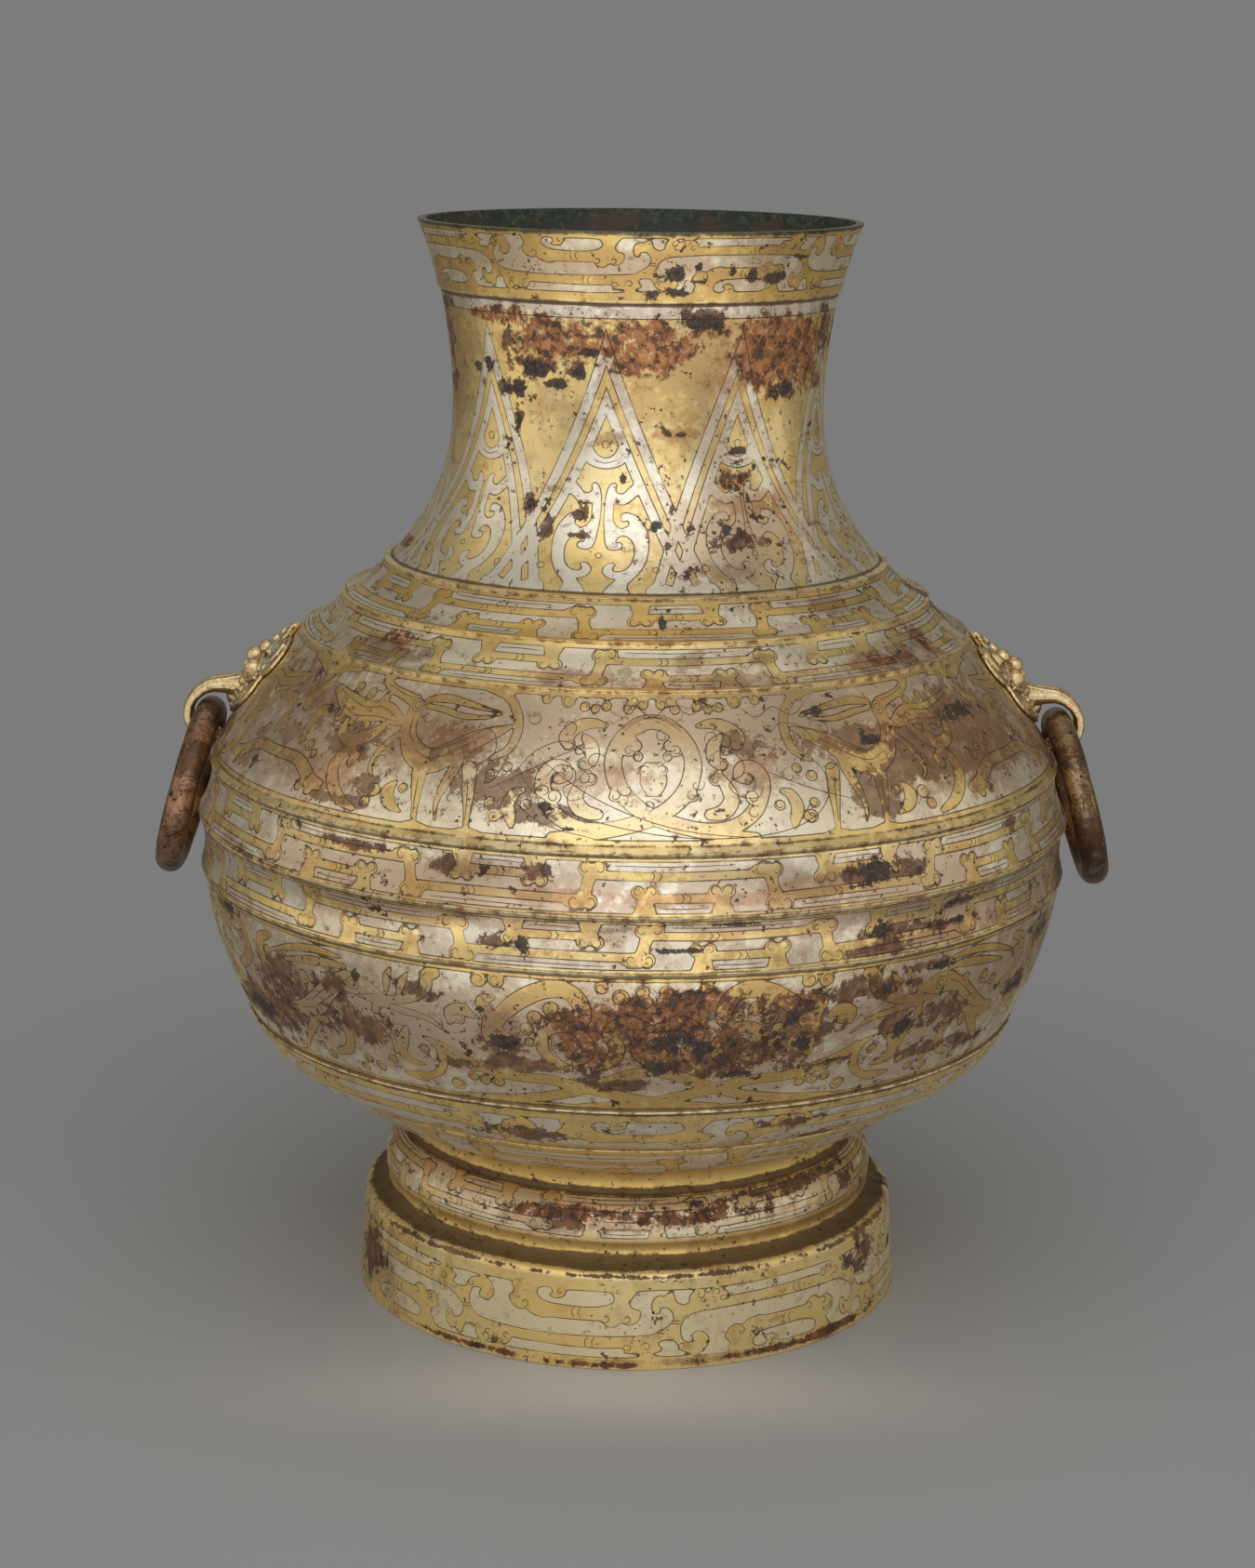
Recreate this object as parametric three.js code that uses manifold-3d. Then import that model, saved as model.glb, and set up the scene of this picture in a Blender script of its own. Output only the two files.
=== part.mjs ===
// A gilt bronze wine jar: a round belly on a hollow ring foot, with a ring hanging in the nose of an
// animal mask on each side. Millimetres, +Z up, the origin in the middle of the face it stands on.
import * as THREE from "three";
import { mergeVertices } from "three/addons/utils/BufferGeometryUtils.js";
import Module from "manifold-3d";

const wasm = await Module();
wasm.setup();

// Fineness
const TURNED_SEGMENTS = 40;
const CHORD_ERROR = 0.3;
const SWEEP_STEP = 13;
const WALL_STEP = 24;
const ROD_SIDES = 10;
const RING_STEPS = 36;
const EDGE_POINTS = 40;
const PLATE_RINGS = 3;
const STROKE_SIDES = 5;
const STROKE_STEP = 4;
const STRAP_SIDES = 8;
const STRAP_STEPS = 14;
const TANG_SIDES = 8;
const DOME_SIDES = 12;
const WALL_SAMPLES = 8;

// Foot, from the ground up
const PLINTH = { bottomRadius: 116, topRadius: 113.4, height: 36 };
const PLINTH_BEAD = { inset: 3.6, height: 4.6, bulge: 1.3 };
const CAVETTO = { inset: 3.2, rise: 0.9, topRadius: 104.4, height: 8.2, hollow: 2.1 };
const SWELL = { topRadius: 96.2, height: 18, bulge: 2.6 };
const FOOT_NECK = { topRadius: 104, height: 12, hollow: 4.2 };

// Bowl and belly, from the foot up: where each stretch of the outline ends. The belly is widest on the belt's
// middle line, and its insets are measured in from there.
const BELLY_RADIUS = 182.2;
const BOWL = { topRadius: 133.4, height: 18.6, bulge: 2.2 };
const LOW_BAND = { topRadius: 161.8, height: 23.4, bulge: 5 };
const LOWER_BELLY = { topInset: 2, height: 58.1, bulge: 3.1 };
const BELT = { lowInset: 0.8, topInset: 5, lowHeight: 21, topHeight: 21.9 };
const BELLY_FOOT = { inset: 7.2, rise: 2.7 };
const UPPER_BELLY = { turnInset: 9.8, turnHeight: 9.1, topInset: 43.9, height: 49.9 };

// Shoulder and neck; each shoulder band steps in from the one below
const SHOULDER = { lowStep: 17, topStep: 17.6, lowHeight: 14.3, topHeight: 12.9 };
const NECK_FOOT = { inset: 3.4, rise: 0.8 };
const NECK_FLARE = { height: 64.9, power: 2.35 };
const NECK_RISE = { height: 44, power: 1.8 };
const NECK = { waistRadius: 76.2, topRadius: 81.1 };
const COLLAR = { proud: 1, lipRadius: 90.6, height: 27.2, step: 0.8, hollow: 0.7 };

// Raised lines round the body
const BAND_HOLLOW = 1.7;
const ARRIS = { proud: 0.9, under: 0.9 };
const BEAD_LINE = { proud: 1.1, height: 2.2 };

// Walls
const WALL = 2.6;
const LIP = 3.4;
const FOOT_WALL = 3.8;
const FLOOR = { thickness: 3.2, dish: 3, edgeRadius: 72 };

// Animal mask: width along the belly's girth, height up its slope from the chin, and relief above the plate
const MASK = { width: 54, height: 48, topGap: 1.2 };
const PLATE = { rim: 1.3, crown: 3.2 };
const EYE = { radius: 4.9, proud: 4.6 };
const BROW = { width: 5, proud: 2.4 };
const HORN = { width: 4.6, proud: 2.5 };
const HORN_CURL = { radius: 6.6, tighter: 0.85, startDeg: 125, stepDeg: 62, steps: 6 };
const WHISKER = { width: 3.8, proud: 1.9 };
const NOSE = { width: 10.4, proud: 5.6 };
const CREST = { width: 6.4, proud: 2.9 };
const STROKE_ROOT = 0.4;
const TAPER = { swellEnds: 0.35, swellPower: 0.6, tailEnd: 0.45 };

// Nose strap, which bends round the ring's rod and back to the wall; its bends are set off from the rod
const STRAP = { width: 9, rootThickness: 5.6, thickness: 4.4, squareness: 3.4 };
const STRAP_THINS_BY = 1 / 3;
const STRAP_FOOT_OFF = 0.6;
const STRAP_TANG_LAP = 1;
const STRAP_ROOM = { over: 2.9, outside: 0.9 };
const STRAP_BRIDGE = { back: 6.5, rise: 0.4 };
const STRAP_SHOULDER = { inset: 1.6, rise: 5.4 };
const STRAP_SIDE_DROP = 1.5;
const STRAP_HEEL = { inset: 1.9, drop: 6.6 };
const STRAP_TOE = 1.2;

// Tangs through the wall, headed over inside
const TANG = { width: 6, thickness: 3.6, squareness: 5, reach: 10 };
const TANG_HEAD = { radius: 5.4, height: 2 };
const LOWER_TANG_FROM_END = 2;
const SLOT_OVERRUN = 4;

// Hanging ring
const RING = { outerDiameter: 77, rodDiameter: 12 };
const RING_OFF_BELLY = 1.9;
const RING_DROP_FROM_CHIN = 4.9;

// Clearances
const SEAT_GAP = 0.3;
const HANG_GAP = 0.7;
const TANG_GAP = 0.3;
const HEAD_GAP = 0.7;
const REST_GAP = 0.3;

const ringRod = RING.rodDiameter / 2;
const ringMean = RING.outerDiameter / 2 - ringRod;

// Solids

function solidOf(geometry) {
  const bare = geometry.index ? geometry.clone() : mergeVertices(geometry.clone());
  bare.deleteAttribute("normal");
  bare.deleteAttribute("uv");
  const merged = mergeVertices(bare, 1e-4);
  const index = merged.index.array;
  const kept = [];
  for (let i = 0; i < index.length; i += 3) {
    const [a, b, c] = [index[i], index[i + 1], index[i + 2]];
    if (a !== b && b !== c && c !== a) kept.push(a, b, c);
  }
  return new wasm.Manifold(
    new wasm.Mesh({
      numProp: 3,
      vertProperties: merged.getAttribute("position").array,
      triVerts: new Uint32Array(kept),
    }),
  );
}

function geometryOf(solid) {
  const mesh = solid.getMesh();
  const positions = new Float32Array(mesh.numVert * 3);
  for (let i = 0; i < mesh.numVert; i++) {
    positions.set(mesh.vertProperties.subarray(i * mesh.numProp, i * mesh.numProp + 3), i * 3);
  }
  const geometry = new THREE.BufferGeometry();
  geometry.setAttribute("position", new THREE.BufferAttribute(positions, 3));
  geometry.setIndex(new THREE.BufferAttribute(new Uint32Array(mesh.triVerts), 1));
  geometry.computeVertexNormals();
  return geometry;
}

// Skins a list of rings with as many points each, and closes both ends at their middles.
function loft(rings) {
  const count = rings[0].length;
  const positions = rings.flat().flatMap((p) => [p.x, p.y, p.z]);
  const index = [];
  for (let i = 0; i + 1 < rings.length; i++) {
    for (let j = 0; j < count; j++) {
      const a = i * count + j;
      const b = i * count + ((j + 1) % count);
      index.push(a, b, b + count, a, b + count, a + count);
    }
  }
  const endMiddle = (ring) => {
    const middle = ring.reduce((sum, p) => sum.add(p), new THREE.Vector3()).divideScalar(count);
    positions.push(middle.x, middle.y, middle.z);
    return positions.length / 3 - 1;
  };
  const first = endMiddle(rings[0]);
  const last = endMiddle(rings[rings.length - 1]);
  const base = (rings.length - 1) * count;
  for (let j = 0; j < count; j++) {
    const next = (j + 1) % count;
    index.push(first, next, j, last, base + j, base + next);
  }
  const geometry = new THREE.BufferGeometry();
  geometry.setAttribute("position", new THREE.Float32BufferAttribute(positions, 3));
  geometry.setIndex(index);
  return geometry;
}

// A bar along stations {at, up, width, height}; squareness 2 gives an ellipse, more a rounded rectangle.
function bar(stations, sides, squareness = 2) {
  const power = 2 / squareness;
  const bend = (value) => Math.sign(value) * Math.abs(value) ** power;
  const rings = stations.map(({ at, up, width, height }, i) => {
    const before = stations[Math.max(0, i - 1)].at;
    const after = stations[Math.min(stations.length - 1, i + 1)].at;
    const ahead = after.clone().sub(before).normalize();
    const side = new THREE.Vector3().crossVectors(up, ahead).normalize();
    const top = new THREE.Vector3().crossVectors(ahead, side);
    return Array.from({ length: sides }, (_, j) => {
      const angle = (2 * Math.PI * (j + 0.5)) / sides;
      return at
        .clone()
        .addScaledVector(side, (width / 2) * bend(Math.cos(angle)))
        .addScaledVector(top, (height / 2) * bend(Math.sin(angle)));
    });
  });
  return solidOf(loft(rings));
}

// Outline of the turned body: radius as x and height as y

class Outline {
  constructor(radius, height) {
    this.points = [new THREE.Vector2(radius, height)];
    this.curves = [];
  }
  get end() {
    return this.points[this.points.length - 1];
  }
  follow(curve, steps) {
    this.points.push(...curve.getPoints(steps).slice(1));
    this.curves.push(curve);
    return this;
  }
  sweep(curve) {
    return this.follow(curve, Math.ceil(curve.getLength() / SWEEP_STEP));
  }
  // A straight stretch that ends at this radius, this much higher.
  line(radius, rise) {
    this.points.push(new THREE.Vector2(radius, this.end.y + rise));
    return this;
  }
  // A shallow arc that stands out from its chord by bulge, or is hollow where bulge is negative.
  bow(radius, rise, bulge) {
    const from = this.end;
    const to = new THREE.Vector2(radius, from.y + rise);
    const chord = to.clone().sub(from);
    const outward = new THREE.Vector2(chord.y, -chord.x).normalize();
    const control = from.clone().add(to).multiplyScalar(0.5).addScaledVector(outward, 2 * bulge);
    const steps = Math.ceil(Math.sqrt(Math.abs(bulge) / CHORD_ERROR));
    return this.follow(new THREE.QuadraticBezierCurve(from, control, to), steps);
  }
  // The sharp lower edge of a hollow band, undercut a little.
  arris(radius) {
    return this.line(radius - ARRIS.proud, 0).line(radius, ARRIS.under);
  }
  // A thin raised line.
  beadLine() {
    const { x } = this.end;
    return this.line(x + BEAD_LINE.proud, BEAD_LINE.height / 2).line(x, BEAD_LINE.height / 2);
  }
}

const body = new Outline(PLINTH.bottomRadius, 0);
const beadTopRadius = PLINTH.topRadius - PLINTH_BEAD.inset;
body
  .line(PLINTH.topRadius, PLINTH.height)
  .bow(beadTopRadius, PLINTH_BEAD.height, PLINTH_BEAD.bulge)
  .line(beadTopRadius - CAVETTO.inset, CAVETTO.rise)
  .bow(CAVETTO.topRadius, CAVETTO.height, -CAVETTO.hollow)
  .bow(SWELL.topRadius, SWELL.height, SWELL.bulge)
  .bow(FOOT_NECK.topRadius, FOOT_NECK.height, -FOOT_NECK.hollow);
const bowlFoot = body.end;
body
  .bow(BOWL.topRadius, BOWL.height, BOWL.bulge)
  .beadLine()
  .bow(LOW_BAND.topRadius, LOW_BAND.height, LOW_BAND.bulge)
  .beadLine()
  .bow(BELLY_RADIUS - LOWER_BELLY.topInset, LOWER_BELLY.height, LOWER_BELLY.bulge)
  .arris(BELLY_RADIUS - BELT.lowInset)
  .bow(BELLY_RADIUS - ARRIS.proud, BELT.lowHeight, -BAND_HOLLOW)
  .arris(BELLY_RADIUS)
  .bow(BELLY_RADIUS - BELT.topInset - ARRIS.proud, BELT.topHeight, -BAND_HOLLOW)
  .arris(BELLY_RADIUS - BELT.topInset)
  .line(BELLY_RADIUS - BELLY_FOOT.inset, BELLY_FOOT.rise);

const bellyFoot = body.end;
const bellyTop = new THREE.Vector2(BELLY_RADIUS - UPPER_BELLY.topInset, bellyFoot.y + UPPER_BELLY.height);
const bellyTurnRadius = BELLY_RADIUS - UPPER_BELLY.turnInset;
const bellyTurn = new THREE.Vector2(bellyTurnRadius, bellyFoot.y + UPPER_BELLY.turnHeight);
const upperBelly = new THREE.QuadraticBezierCurve(bellyFoot, bellyTurn, bellyTop);

const shoulderLow = bellyTop.x + ARRIS.proud;
const shoulderMiddle = shoulderLow - SHOULDER.lowStep;
const shoulderTop = shoulderMiddle - SHOULDER.topStep;
body
  .sweep(upperBelly)
  .arris(shoulderLow)
  .bow(shoulderMiddle - ARRIS.proud, SHOULDER.lowHeight, -BAND_HOLLOW)
  .arris(shoulderMiddle)
  .bow(shoulderTop - ARRIS.proud, SHOULDER.topHeight, -BAND_HOLLOW)
  .arris(shoulderTop)
  .line(shoulderTop - NECK_FOOT.inset, NECK_FOOT.rise);

// The neck's two sweeps run out flat where they meet at its waist.
class NeckSweep extends THREE.Curve {
  constructor(from, to, power, waistFirst) {
    super();
    Object.assign(this, { from, to, power, waistFirst });
  }
  getPoint(t, target = new THREE.Vector2()) {
    const share = this.waistFirst ? t ** this.power : 1 - (1 - t) ** this.power;
    const radius = THREE.MathUtils.lerp(this.from.x, this.to.x, share);
    return target.set(radius, THREE.MathUtils.lerp(this.from.y, this.to.y, t));
  }
}

const neckFoot = body.end;
const waist = new THREE.Vector2(NECK.waistRadius, neckFoot.y + NECK_FLARE.height);
const neckTop = new THREE.Vector2(NECK.topRadius, waist.y + NECK_RISE.height);
body
  .sweep(new NeckSweep(neckFoot, waist, NECK_FLARE.power, false))
  .sweep(new NeckSweep(waist, neckTop, NECK_RISE.power, true))
  .line(NECK.topRadius + COLLAR.proud, COLLAR.step)
  .bow(COLLAR.lipRadius, COLLAR.height, -COLLAR.hollow);
const lipEdge = body.end;

// Inside, the wall follows the main form and passes behind the middle of each raised line.
function insideWall() {
  const curves = body.curves.filter((curve) => curve.getPoint(0).y >= bowlFoot.y);
  const line = curves.flatMap((curve, i) => {
    const pieces = Math.ceil(curve.getLength() / WALL_STEP) + 1;
    const places = curve.getPoints(pieces).slice(1, -1);
    const next = curves[i + 1];
    return next ? [...places, curve.getPoint(1).lerp(next.getPoint(0), 0.5)] : places;
  });
  return line.map((point, i) => {
    const before = line[Math.max(0, i - 1)];
    const after = line[Math.min(line.length - 1, i + 1)];
    const along = after.clone().sub(before).normalize();
    return point.clone().addScaledVector(new THREE.Vector2(along.y, -along.x), -WALL);
  });
}

const inside = insideWall();

// The place on a line of points that is nearest to a given place.
function nearestOn(line, place) {
  const places = line.slice(1).map((end, i) => {
    const edge = end.clone().sub(line[i]);
    const share = edge.lengthSq() > 0 ? place.clone().sub(line[i]).dot(edge) / edge.lengthSq() : 0;
    return line[i].clone().addScaledVector(edge, THREE.MathUtils.clamp(share, 0, 1));
  });
  return places.reduce((best, found) => (found.distanceTo(place) < best.distanceTo(place) ? found : best));
}

// From the floor down to the ground
const beadTop = PLINTH.height + PLINTH_BEAD.height;
const footInside = [
  new THREE.Vector2(SWELL.topRadius - FOOT_WALL, bowlFoot.y - FOOT_NECK.height - FOOT_WALL),
  new THREE.Vector2(CAVETTO.topRadius - CAVETTO.hollow - FOOT_WALL, beadTop + CAVETTO.height),
  new THREE.Vector2(beadTopRadius - CAVETTO.inset - FOOT_WALL, beadTop - FOOT_WALL),
  new THREE.Vector2(PLINTH.topRadius - FOOT_WALL, PLINTH.height - FOOT_WALL),
  new THREE.Vector2(PLINTH.bottomRadius - FOOT_WALL, 0),
];
const floorTop = bowlFoot.y - FLOOR.dish + WALL;
const floorUnder = floorTop - FLOOR.thickness;

const vesselOutline = [
  new THREE.Vector2(0, floorUnder),
  new THREE.Vector2(FLOOR.edgeRadius, floorUnder),
  ...footInside,
  ...body.points,
  new THREE.Vector2(lipEdge.x - LIP, lipEdge.y),
  ...[...inside].reverse(),
  new THREE.Vector2(FLOOR.edgeRadius, floorTop),
  new THREE.Vector2(0, floorTop),
];

function vesselSolid() {
  const turned = new THREE.LatheGeometry(vesselOutline, TURNED_SEGMENTS);
  turned.rotateX(Math.PI / 2);
  return solidOf(turned);
}

// Places on the upper belly at the right-hand mask: across along the girth, up the slope from the chin, and
// out along the surface's normal

const bellyLength = upperBelly.getLength();
const chinFromTop = MASK.topGap + MASK.height;

function slopeAt(up) {
  const share = (bellyLength - chinFromTop + up) / bellyLength;
  const clamped = THREE.MathUtils.clamp(share, 0, 1);
  const point = upperBelly.getPointAt(clamped);
  const along = upperBelly.getTangentAt(clamped);
  return { point, out: new THREE.Vector2(along.y, -along.x) };
}

function onBelly(across, up, out) {
  const { point, out: normal } = slopeAt(up);
  const angle = across / point.x;
  const radius = point.x + normal.x * out;
  return new THREE.Vector3(radius * Math.cos(angle), radius * Math.sin(angle), point.y + normal.y * out);
}

function outwardAt(across, up) {
  return onBelly(across, up, 1).sub(onBelly(across, up, 0)).normalize();
}

// The mask's drawing is in [across, up] shares of its half width and its height.

// Half of its edge, from the crest's tip down to the chin
const MASK_EDGE = [
  [0, 1],
  [0.17, 0.906],
  [0.296, 0.844],
  [0.519, 0.906],
  [0.815, 0.854],
  [1, 0.708],
  [0.944, 0.563],
  [0.759, 0.479],
  [0.87, 0.344],
  [0.759, 0.198],
  [0.519, 0.115],
  [0.296, 0.046],
  [0, 0],
];
const MASK_MIDDLE = [0, 0.458];
const EYE_AT = [0.37, 0.469];
const HORN_ROOT = [0.241, 0.708];
const HORN_MIDDLE = [0.685, 0.719];
const STRAP_ROOT_UP = 0.292;
const UPPER_TANG_UP = 0.771;
const BROW_POINTS = [
  [0.119, 0.635],
  [0.333, 0.625],
  [0.556, 0.579],
  [0.722, 0.49],
];
const WHISKER_POINTS = [
  [0.241, 0.26],
  [0.444, 0.2],
  [0.648, 0.233],
  [0.715, 0.325],
  [0.604, 0.367],
];
const CHIN_POINTS = [
  [0, 0.188],
  [0.259, 0.133],
  [0.463, 0.163],
];
const CREST_POINTS = [
  [0, 0.688],
  [0, 0.833],
  [0, 0.958],
];
const NOSE_POINTS = [
  [0, 0.583],
  [0, 0.438],
  [0, 0.271],
  [0, 0.188],
];

const onDrawing = ([across, up]) => new THREE.Vector3((across * MASK.width) / 2, up * MASK.height, 0);
const mirrored = (points) => points.map(([across, up]) => [-across, up]);

function maskPlate() {
  const half = [...MASK_EDGE, ...mirrored(MASK_EDGE.slice(1, -1)).reverse()].map(onDrawing);
  const edge = new THREE.CatmullRomCurve3(half, true, "centripetal").getSpacedPoints(EDGE_POINTS);
  edge.pop();
  edge.reverse();
  const middle = onDrawing(MASK_MIDDLE);
  const ringAt = (share, out) =>
    edge.map((p) => {
      const place = middle.clone().lerp(p, share);
      return onBelly(place.x, place.y, out);
    });
  const back = [];
  const front = [];
  for (let i = 1; i <= PLATE_RINGS; i++) {
    const share = i / PLATE_RINGS;
    back.push(ringAt(share, SEAT_GAP));
    front.unshift(ringAt(share, SEAT_GAP + THREE.MathUtils.lerp(PLATE.crown, PLATE.rim, share ** 2)));
  }
  return solidOf(loft([...back, ...front]));
}

// A raised stroke along points of the drawing, tapered to both ends or only to its far end.
function stroke(points, { width, proud }, taper) {
  const path = new THREE.CatmullRomCurve3(points);
  const steps = Math.ceil(path.getLength() / STROKE_STEP);
  const stations = Array.from({ length: steps + 1 }, (_, i) => {
    const share = i / steps;
    const p = path.getPoint(share);
    const size = taper(share);
    const root = SEAT_GAP + STROKE_ROOT;
    const top = SEAT_GAP + PLATE.rim + proud * size;
    const at = onBelly(p.x, p.y, (root + top) / 2);
    return { at, up: outwardAt(p.x, p.y), width: width * size, height: top - root };
  });
  return bar(stations, STROKE_SIDES);
}

const { swellEnds, swellPower, tailEnd } = TAPER;
const swellTaper = (share) => THREE.MathUtils.lerp(swellEnds, 1, Math.sin(Math.PI * share) ** swellPower);
const tailTaper = (share) => THREE.MathUtils.lerp(1, tailEnd, share);

// The horn curls out from the crest and back on itself in one turn.
function hornPoints() {
  const middle = onDrawing(HORN_MIDDLE);
  const curl = Array.from({ length: HORN_CURL.steps + 1 }, (_, i) => {
    const angle = THREE.MathUtils.degToRad(HORN_CURL.startDeg - i * HORN_CURL.stepDeg);
    const radius = HORN_CURL.radius - i * HORN_CURL.tighter;
    return new THREE.Vector3(radius * Math.cos(angle), radius * Math.sin(angle), 0).add(middle);
  });
  return [onDrawing(HORN_ROOT), ...curl];
}

function dome(radius, height) {
  const points = [new THREE.Vector2(0, 0), new THREE.Vector2(radius, 0)];
  for (const angle of [30, 60]) {
    const turn = THREE.MathUtils.degToRad(angle);
    points.push(new THREE.Vector2(radius * Math.cos(turn), height * Math.sin(turn)));
  }
  points.push(new THREE.Vector2(0, height));
  return new THREE.LatheGeometry(points, DOME_SIDES);
}

// Turns a geometry whose own axis is +Y onto a direction, and moves it there.
function placed(geometry, at, axis) {
  geometry.applyQuaternion(new THREE.Quaternion().setFromUnitVectors(new THREE.Vector3(0, 1, 0), axis));
  geometry.translate(at.x, at.y, at.z);
  return geometry;
}

function eye(side) {
  const { x, y } = onDrawing(EYE_AT);
  const ball = dome(EYE.radius, EYE.proud + PLATE.crown - STROKE_ROOT);
  return solidOf(placed(ball, onBelly(side * x, y, SEAT_GAP + STROKE_ROOT), outwardAt(side * x, y)));
}

// The hinge axis is the middle of the ring's rod where it lies in the strap.
const hangUp = -RING_DROP_FROM_CHIN;
const hinge = onBelly(0, hangUp, RING_OFF_BELLY + ringRod);

// The strap's middle line in the plane y = 0, from the nose over the rod and back to the wall
const lowerTangUp = LOWER_TANG_FROM_END - (bellyLength - chinFromTop);
const strapFootOut = SEAT_GAP + STRAP_FOOT_OFF;
const lowerTangOut = strapFootOut + STRAP_TANG_LAP;

function strapStations() {
  const reach = ringRod + STRAP.thickness / 2;
  const under = hinge.z - reach - HANG_GAP;
  const over = hinge.z + reach + STRAP_ROOM.over;
  const outside = hinge.x + reach + STRAP_ROOM.outside;
  const foot = tangLine(lowerTangUp);
  const offWall = (out) => foot.outer.clone().addScaledVector(foot.axis, out);
  const route = [
    onBelly(0, STRAP_ROOT_UP * MASK.height, PLATE.crown),
    new THREE.Vector3(hinge.x - STRAP_BRIDGE.back, 0, over + STRAP_BRIDGE.rise),
    new THREE.Vector3(hinge.x, 0, over),
    new THREE.Vector3(outside - STRAP_SHOULDER.inset, 0, hinge.z + STRAP_SHOULDER.rise),
    new THREE.Vector3(outside, 0, hinge.z - STRAP_SIDE_DROP),
    new THREE.Vector3(outside - STRAP_HEEL.inset, 0, hinge.z - STRAP_HEEL.drop),
    new THREE.Vector3(hinge.x + STRAP_TOE, 0, under),
    offWall(lowerTangOut),
    offWall(strapFootOut),
  ];
  const path = new THREE.CatmullRomCurve3(route, false, "centripetal");
  return Array.from({ length: STRAP_STEPS + 1 }, (_, i) => {
    const share = i / STRAP_STEPS;
    const along = path.getTangent(share);
    const up = new THREE.Vector3(-along.z, 0, along.x);
    const thinned = Math.min(1, share / STRAP_THINS_BY);
    const height = THREE.MathUtils.lerp(STRAP.rootThickness, STRAP.thickness, thinned);
    return { at: path.getPoint(share), up, width: STRAP.width, height };
  });
}

// A tang's line through the wall, square to its inside face, and how far in its head clears that face all
// round.
function tangLine(up) {
  const outer = slopeAt(up).point;
  const axis = outer.clone().sub(nearestOn(inside, outer)).normalize();
  const offsets = inside.slice(1).flatMap((end, i) =>
    Array.from({ length: WALL_SAMPLES + 1 }, (_, j) => {
      const place = inside[i].clone().lerp(end, j / WALL_SAMPLES);
      return outer.clone().sub(place);
    }),
  );
  const beside = offsets.filter((offset) => Math.abs(offset.cross(axis)) < TANG_HEAD.radius + HEAD_GAP);
  return {
    outer: new THREE.Vector3(outer.x, 0, outer.y),
    axis: new THREE.Vector3(axis.x, 0, axis.y),
    depth: Math.max(...beside.map((offset) => offset.dot(axis)).filter((depth) => depth < TANG.reach)),
  };
}

// A tang from the back of the mask through the wall, and the head that is hammered down inside.
function tang(up, from) {
  const { outer, axis, depth } = tangLine(up);
  const seat = -depth - HEAD_GAP;
  const station = (out) => ({
    at: outer.clone().addScaledVector(axis, out),
    up: new THREE.Vector3(0, 1, 0),
    width: TANG.thickness,
    height: TANG.width,
  });
  const shank = bar([station(from), station(seat - TANG_HEAD.height / 2)], TANG_SIDES, TANG.squareness);
  const head = dome(TANG_HEAD.radius, TANG_HEAD.height);
  return shank.add(solidOf(placed(head, outer.clone().addScaledVector(axis, seat), axis.clone().negate())));
}

function tangSlot(up) {
  const { outer, axis, depth } = tangLine(up);
  const long = depth + 2 * SLOT_OVERRUN;
  const slot = new THREE.BoxGeometry(TANG.thickness + 2 * TANG_GAP, long, TANG.width + 2 * TANG_GAP);
  const girth = new THREE.Vector3(0, 1, 0);
  const slope = new THREE.Vector3().crossVectors(axis, girth);
  slot.applyMatrix4(new THREE.Matrix4().makeBasis(slope, axis, girth));
  const middle = outer.clone().addScaledVector(axis, -depth / 2);
  return slot.translate(middle.x, middle.y, middle.z);
}

const upperTangUp = UPPER_TANG_UP * MASK.height;

function maskSolid() {
  let mask = maskPlate();
  for (const side of [1, -1]) {
    const turned = (points) => points.map((p) => new THREE.Vector3(side * p.x, p.y, 0));
    const drawn = (points) => turned(points.map(onDrawing));
    mask = mask
      .add(stroke(turned(hornPoints()), HORN, tailTaper))
      .add(stroke(drawn(BROW_POINTS), BROW, swellTaper))
      .add(stroke(drawn(WHISKER_POINTS), WHISKER, tailTaper))
      .add(stroke(drawn(CHIN_POINTS), WHISKER, tailTaper))
      .add(eye(side));
  }
  return mask
    .add(stroke(CREST_POINTS.map(onDrawing), CREST, swellTaper))
    .add(stroke(NOSE_POINTS.map(onDrawing), NOSE, swellTaper))
    .add(bar(strapStations(), STRAP_SIDES, STRAP.squareness))
    .add(tang(upperTangUp, SEAT_GAP + PLATE.rim))
    .add(tang(lowerTangUp, lowerTangOut));
}

// Hangs from the origin, in the plane x = 0.
function ringGeometry() {
  return new THREE.TorusGeometry(ringMean, ringRod, ROD_SIDES, RING_STEPS)
    .rotateY(Math.PI / 2)
    .translate(0, 0, -ringMean);
}

// How far the ring swings out from hanging straight down, so that its rod clears the belt it lies against.
function restLean() {
  const places = Array.from({ length: RING_STEPS }, (_, i) => {
    const turn = (2 * Math.PI * i) / RING_STEPS;
    return new THREE.Vector3(0, ringMean * Math.sin(turn), ringMean * (Math.cos(turn) - 1));
  });
  const clearAt = (lean) =>
    places.every((place) => {
      const at = place.clone().applyAxisAngle(new THREE.Vector3(0, -1, 0), lean).add(hinge);
      const flat = new THREE.Vector2(Math.hypot(at.x, at.y), at.z);
      return nearestOn(body.points, flat).distanceTo(flat) > ringRod + REST_GAP && flat.x > BELLY_RADIUS / 2;
    });
  let [low, high] = [0, Math.PI / 2];
  for (let i = 0; i < 24; i++) {
    const middle = (low + high) / 2;
    if (clearAt(middle)) high = middle;
    else low = middle;
  }
  return high;
}

// Materials

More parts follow.
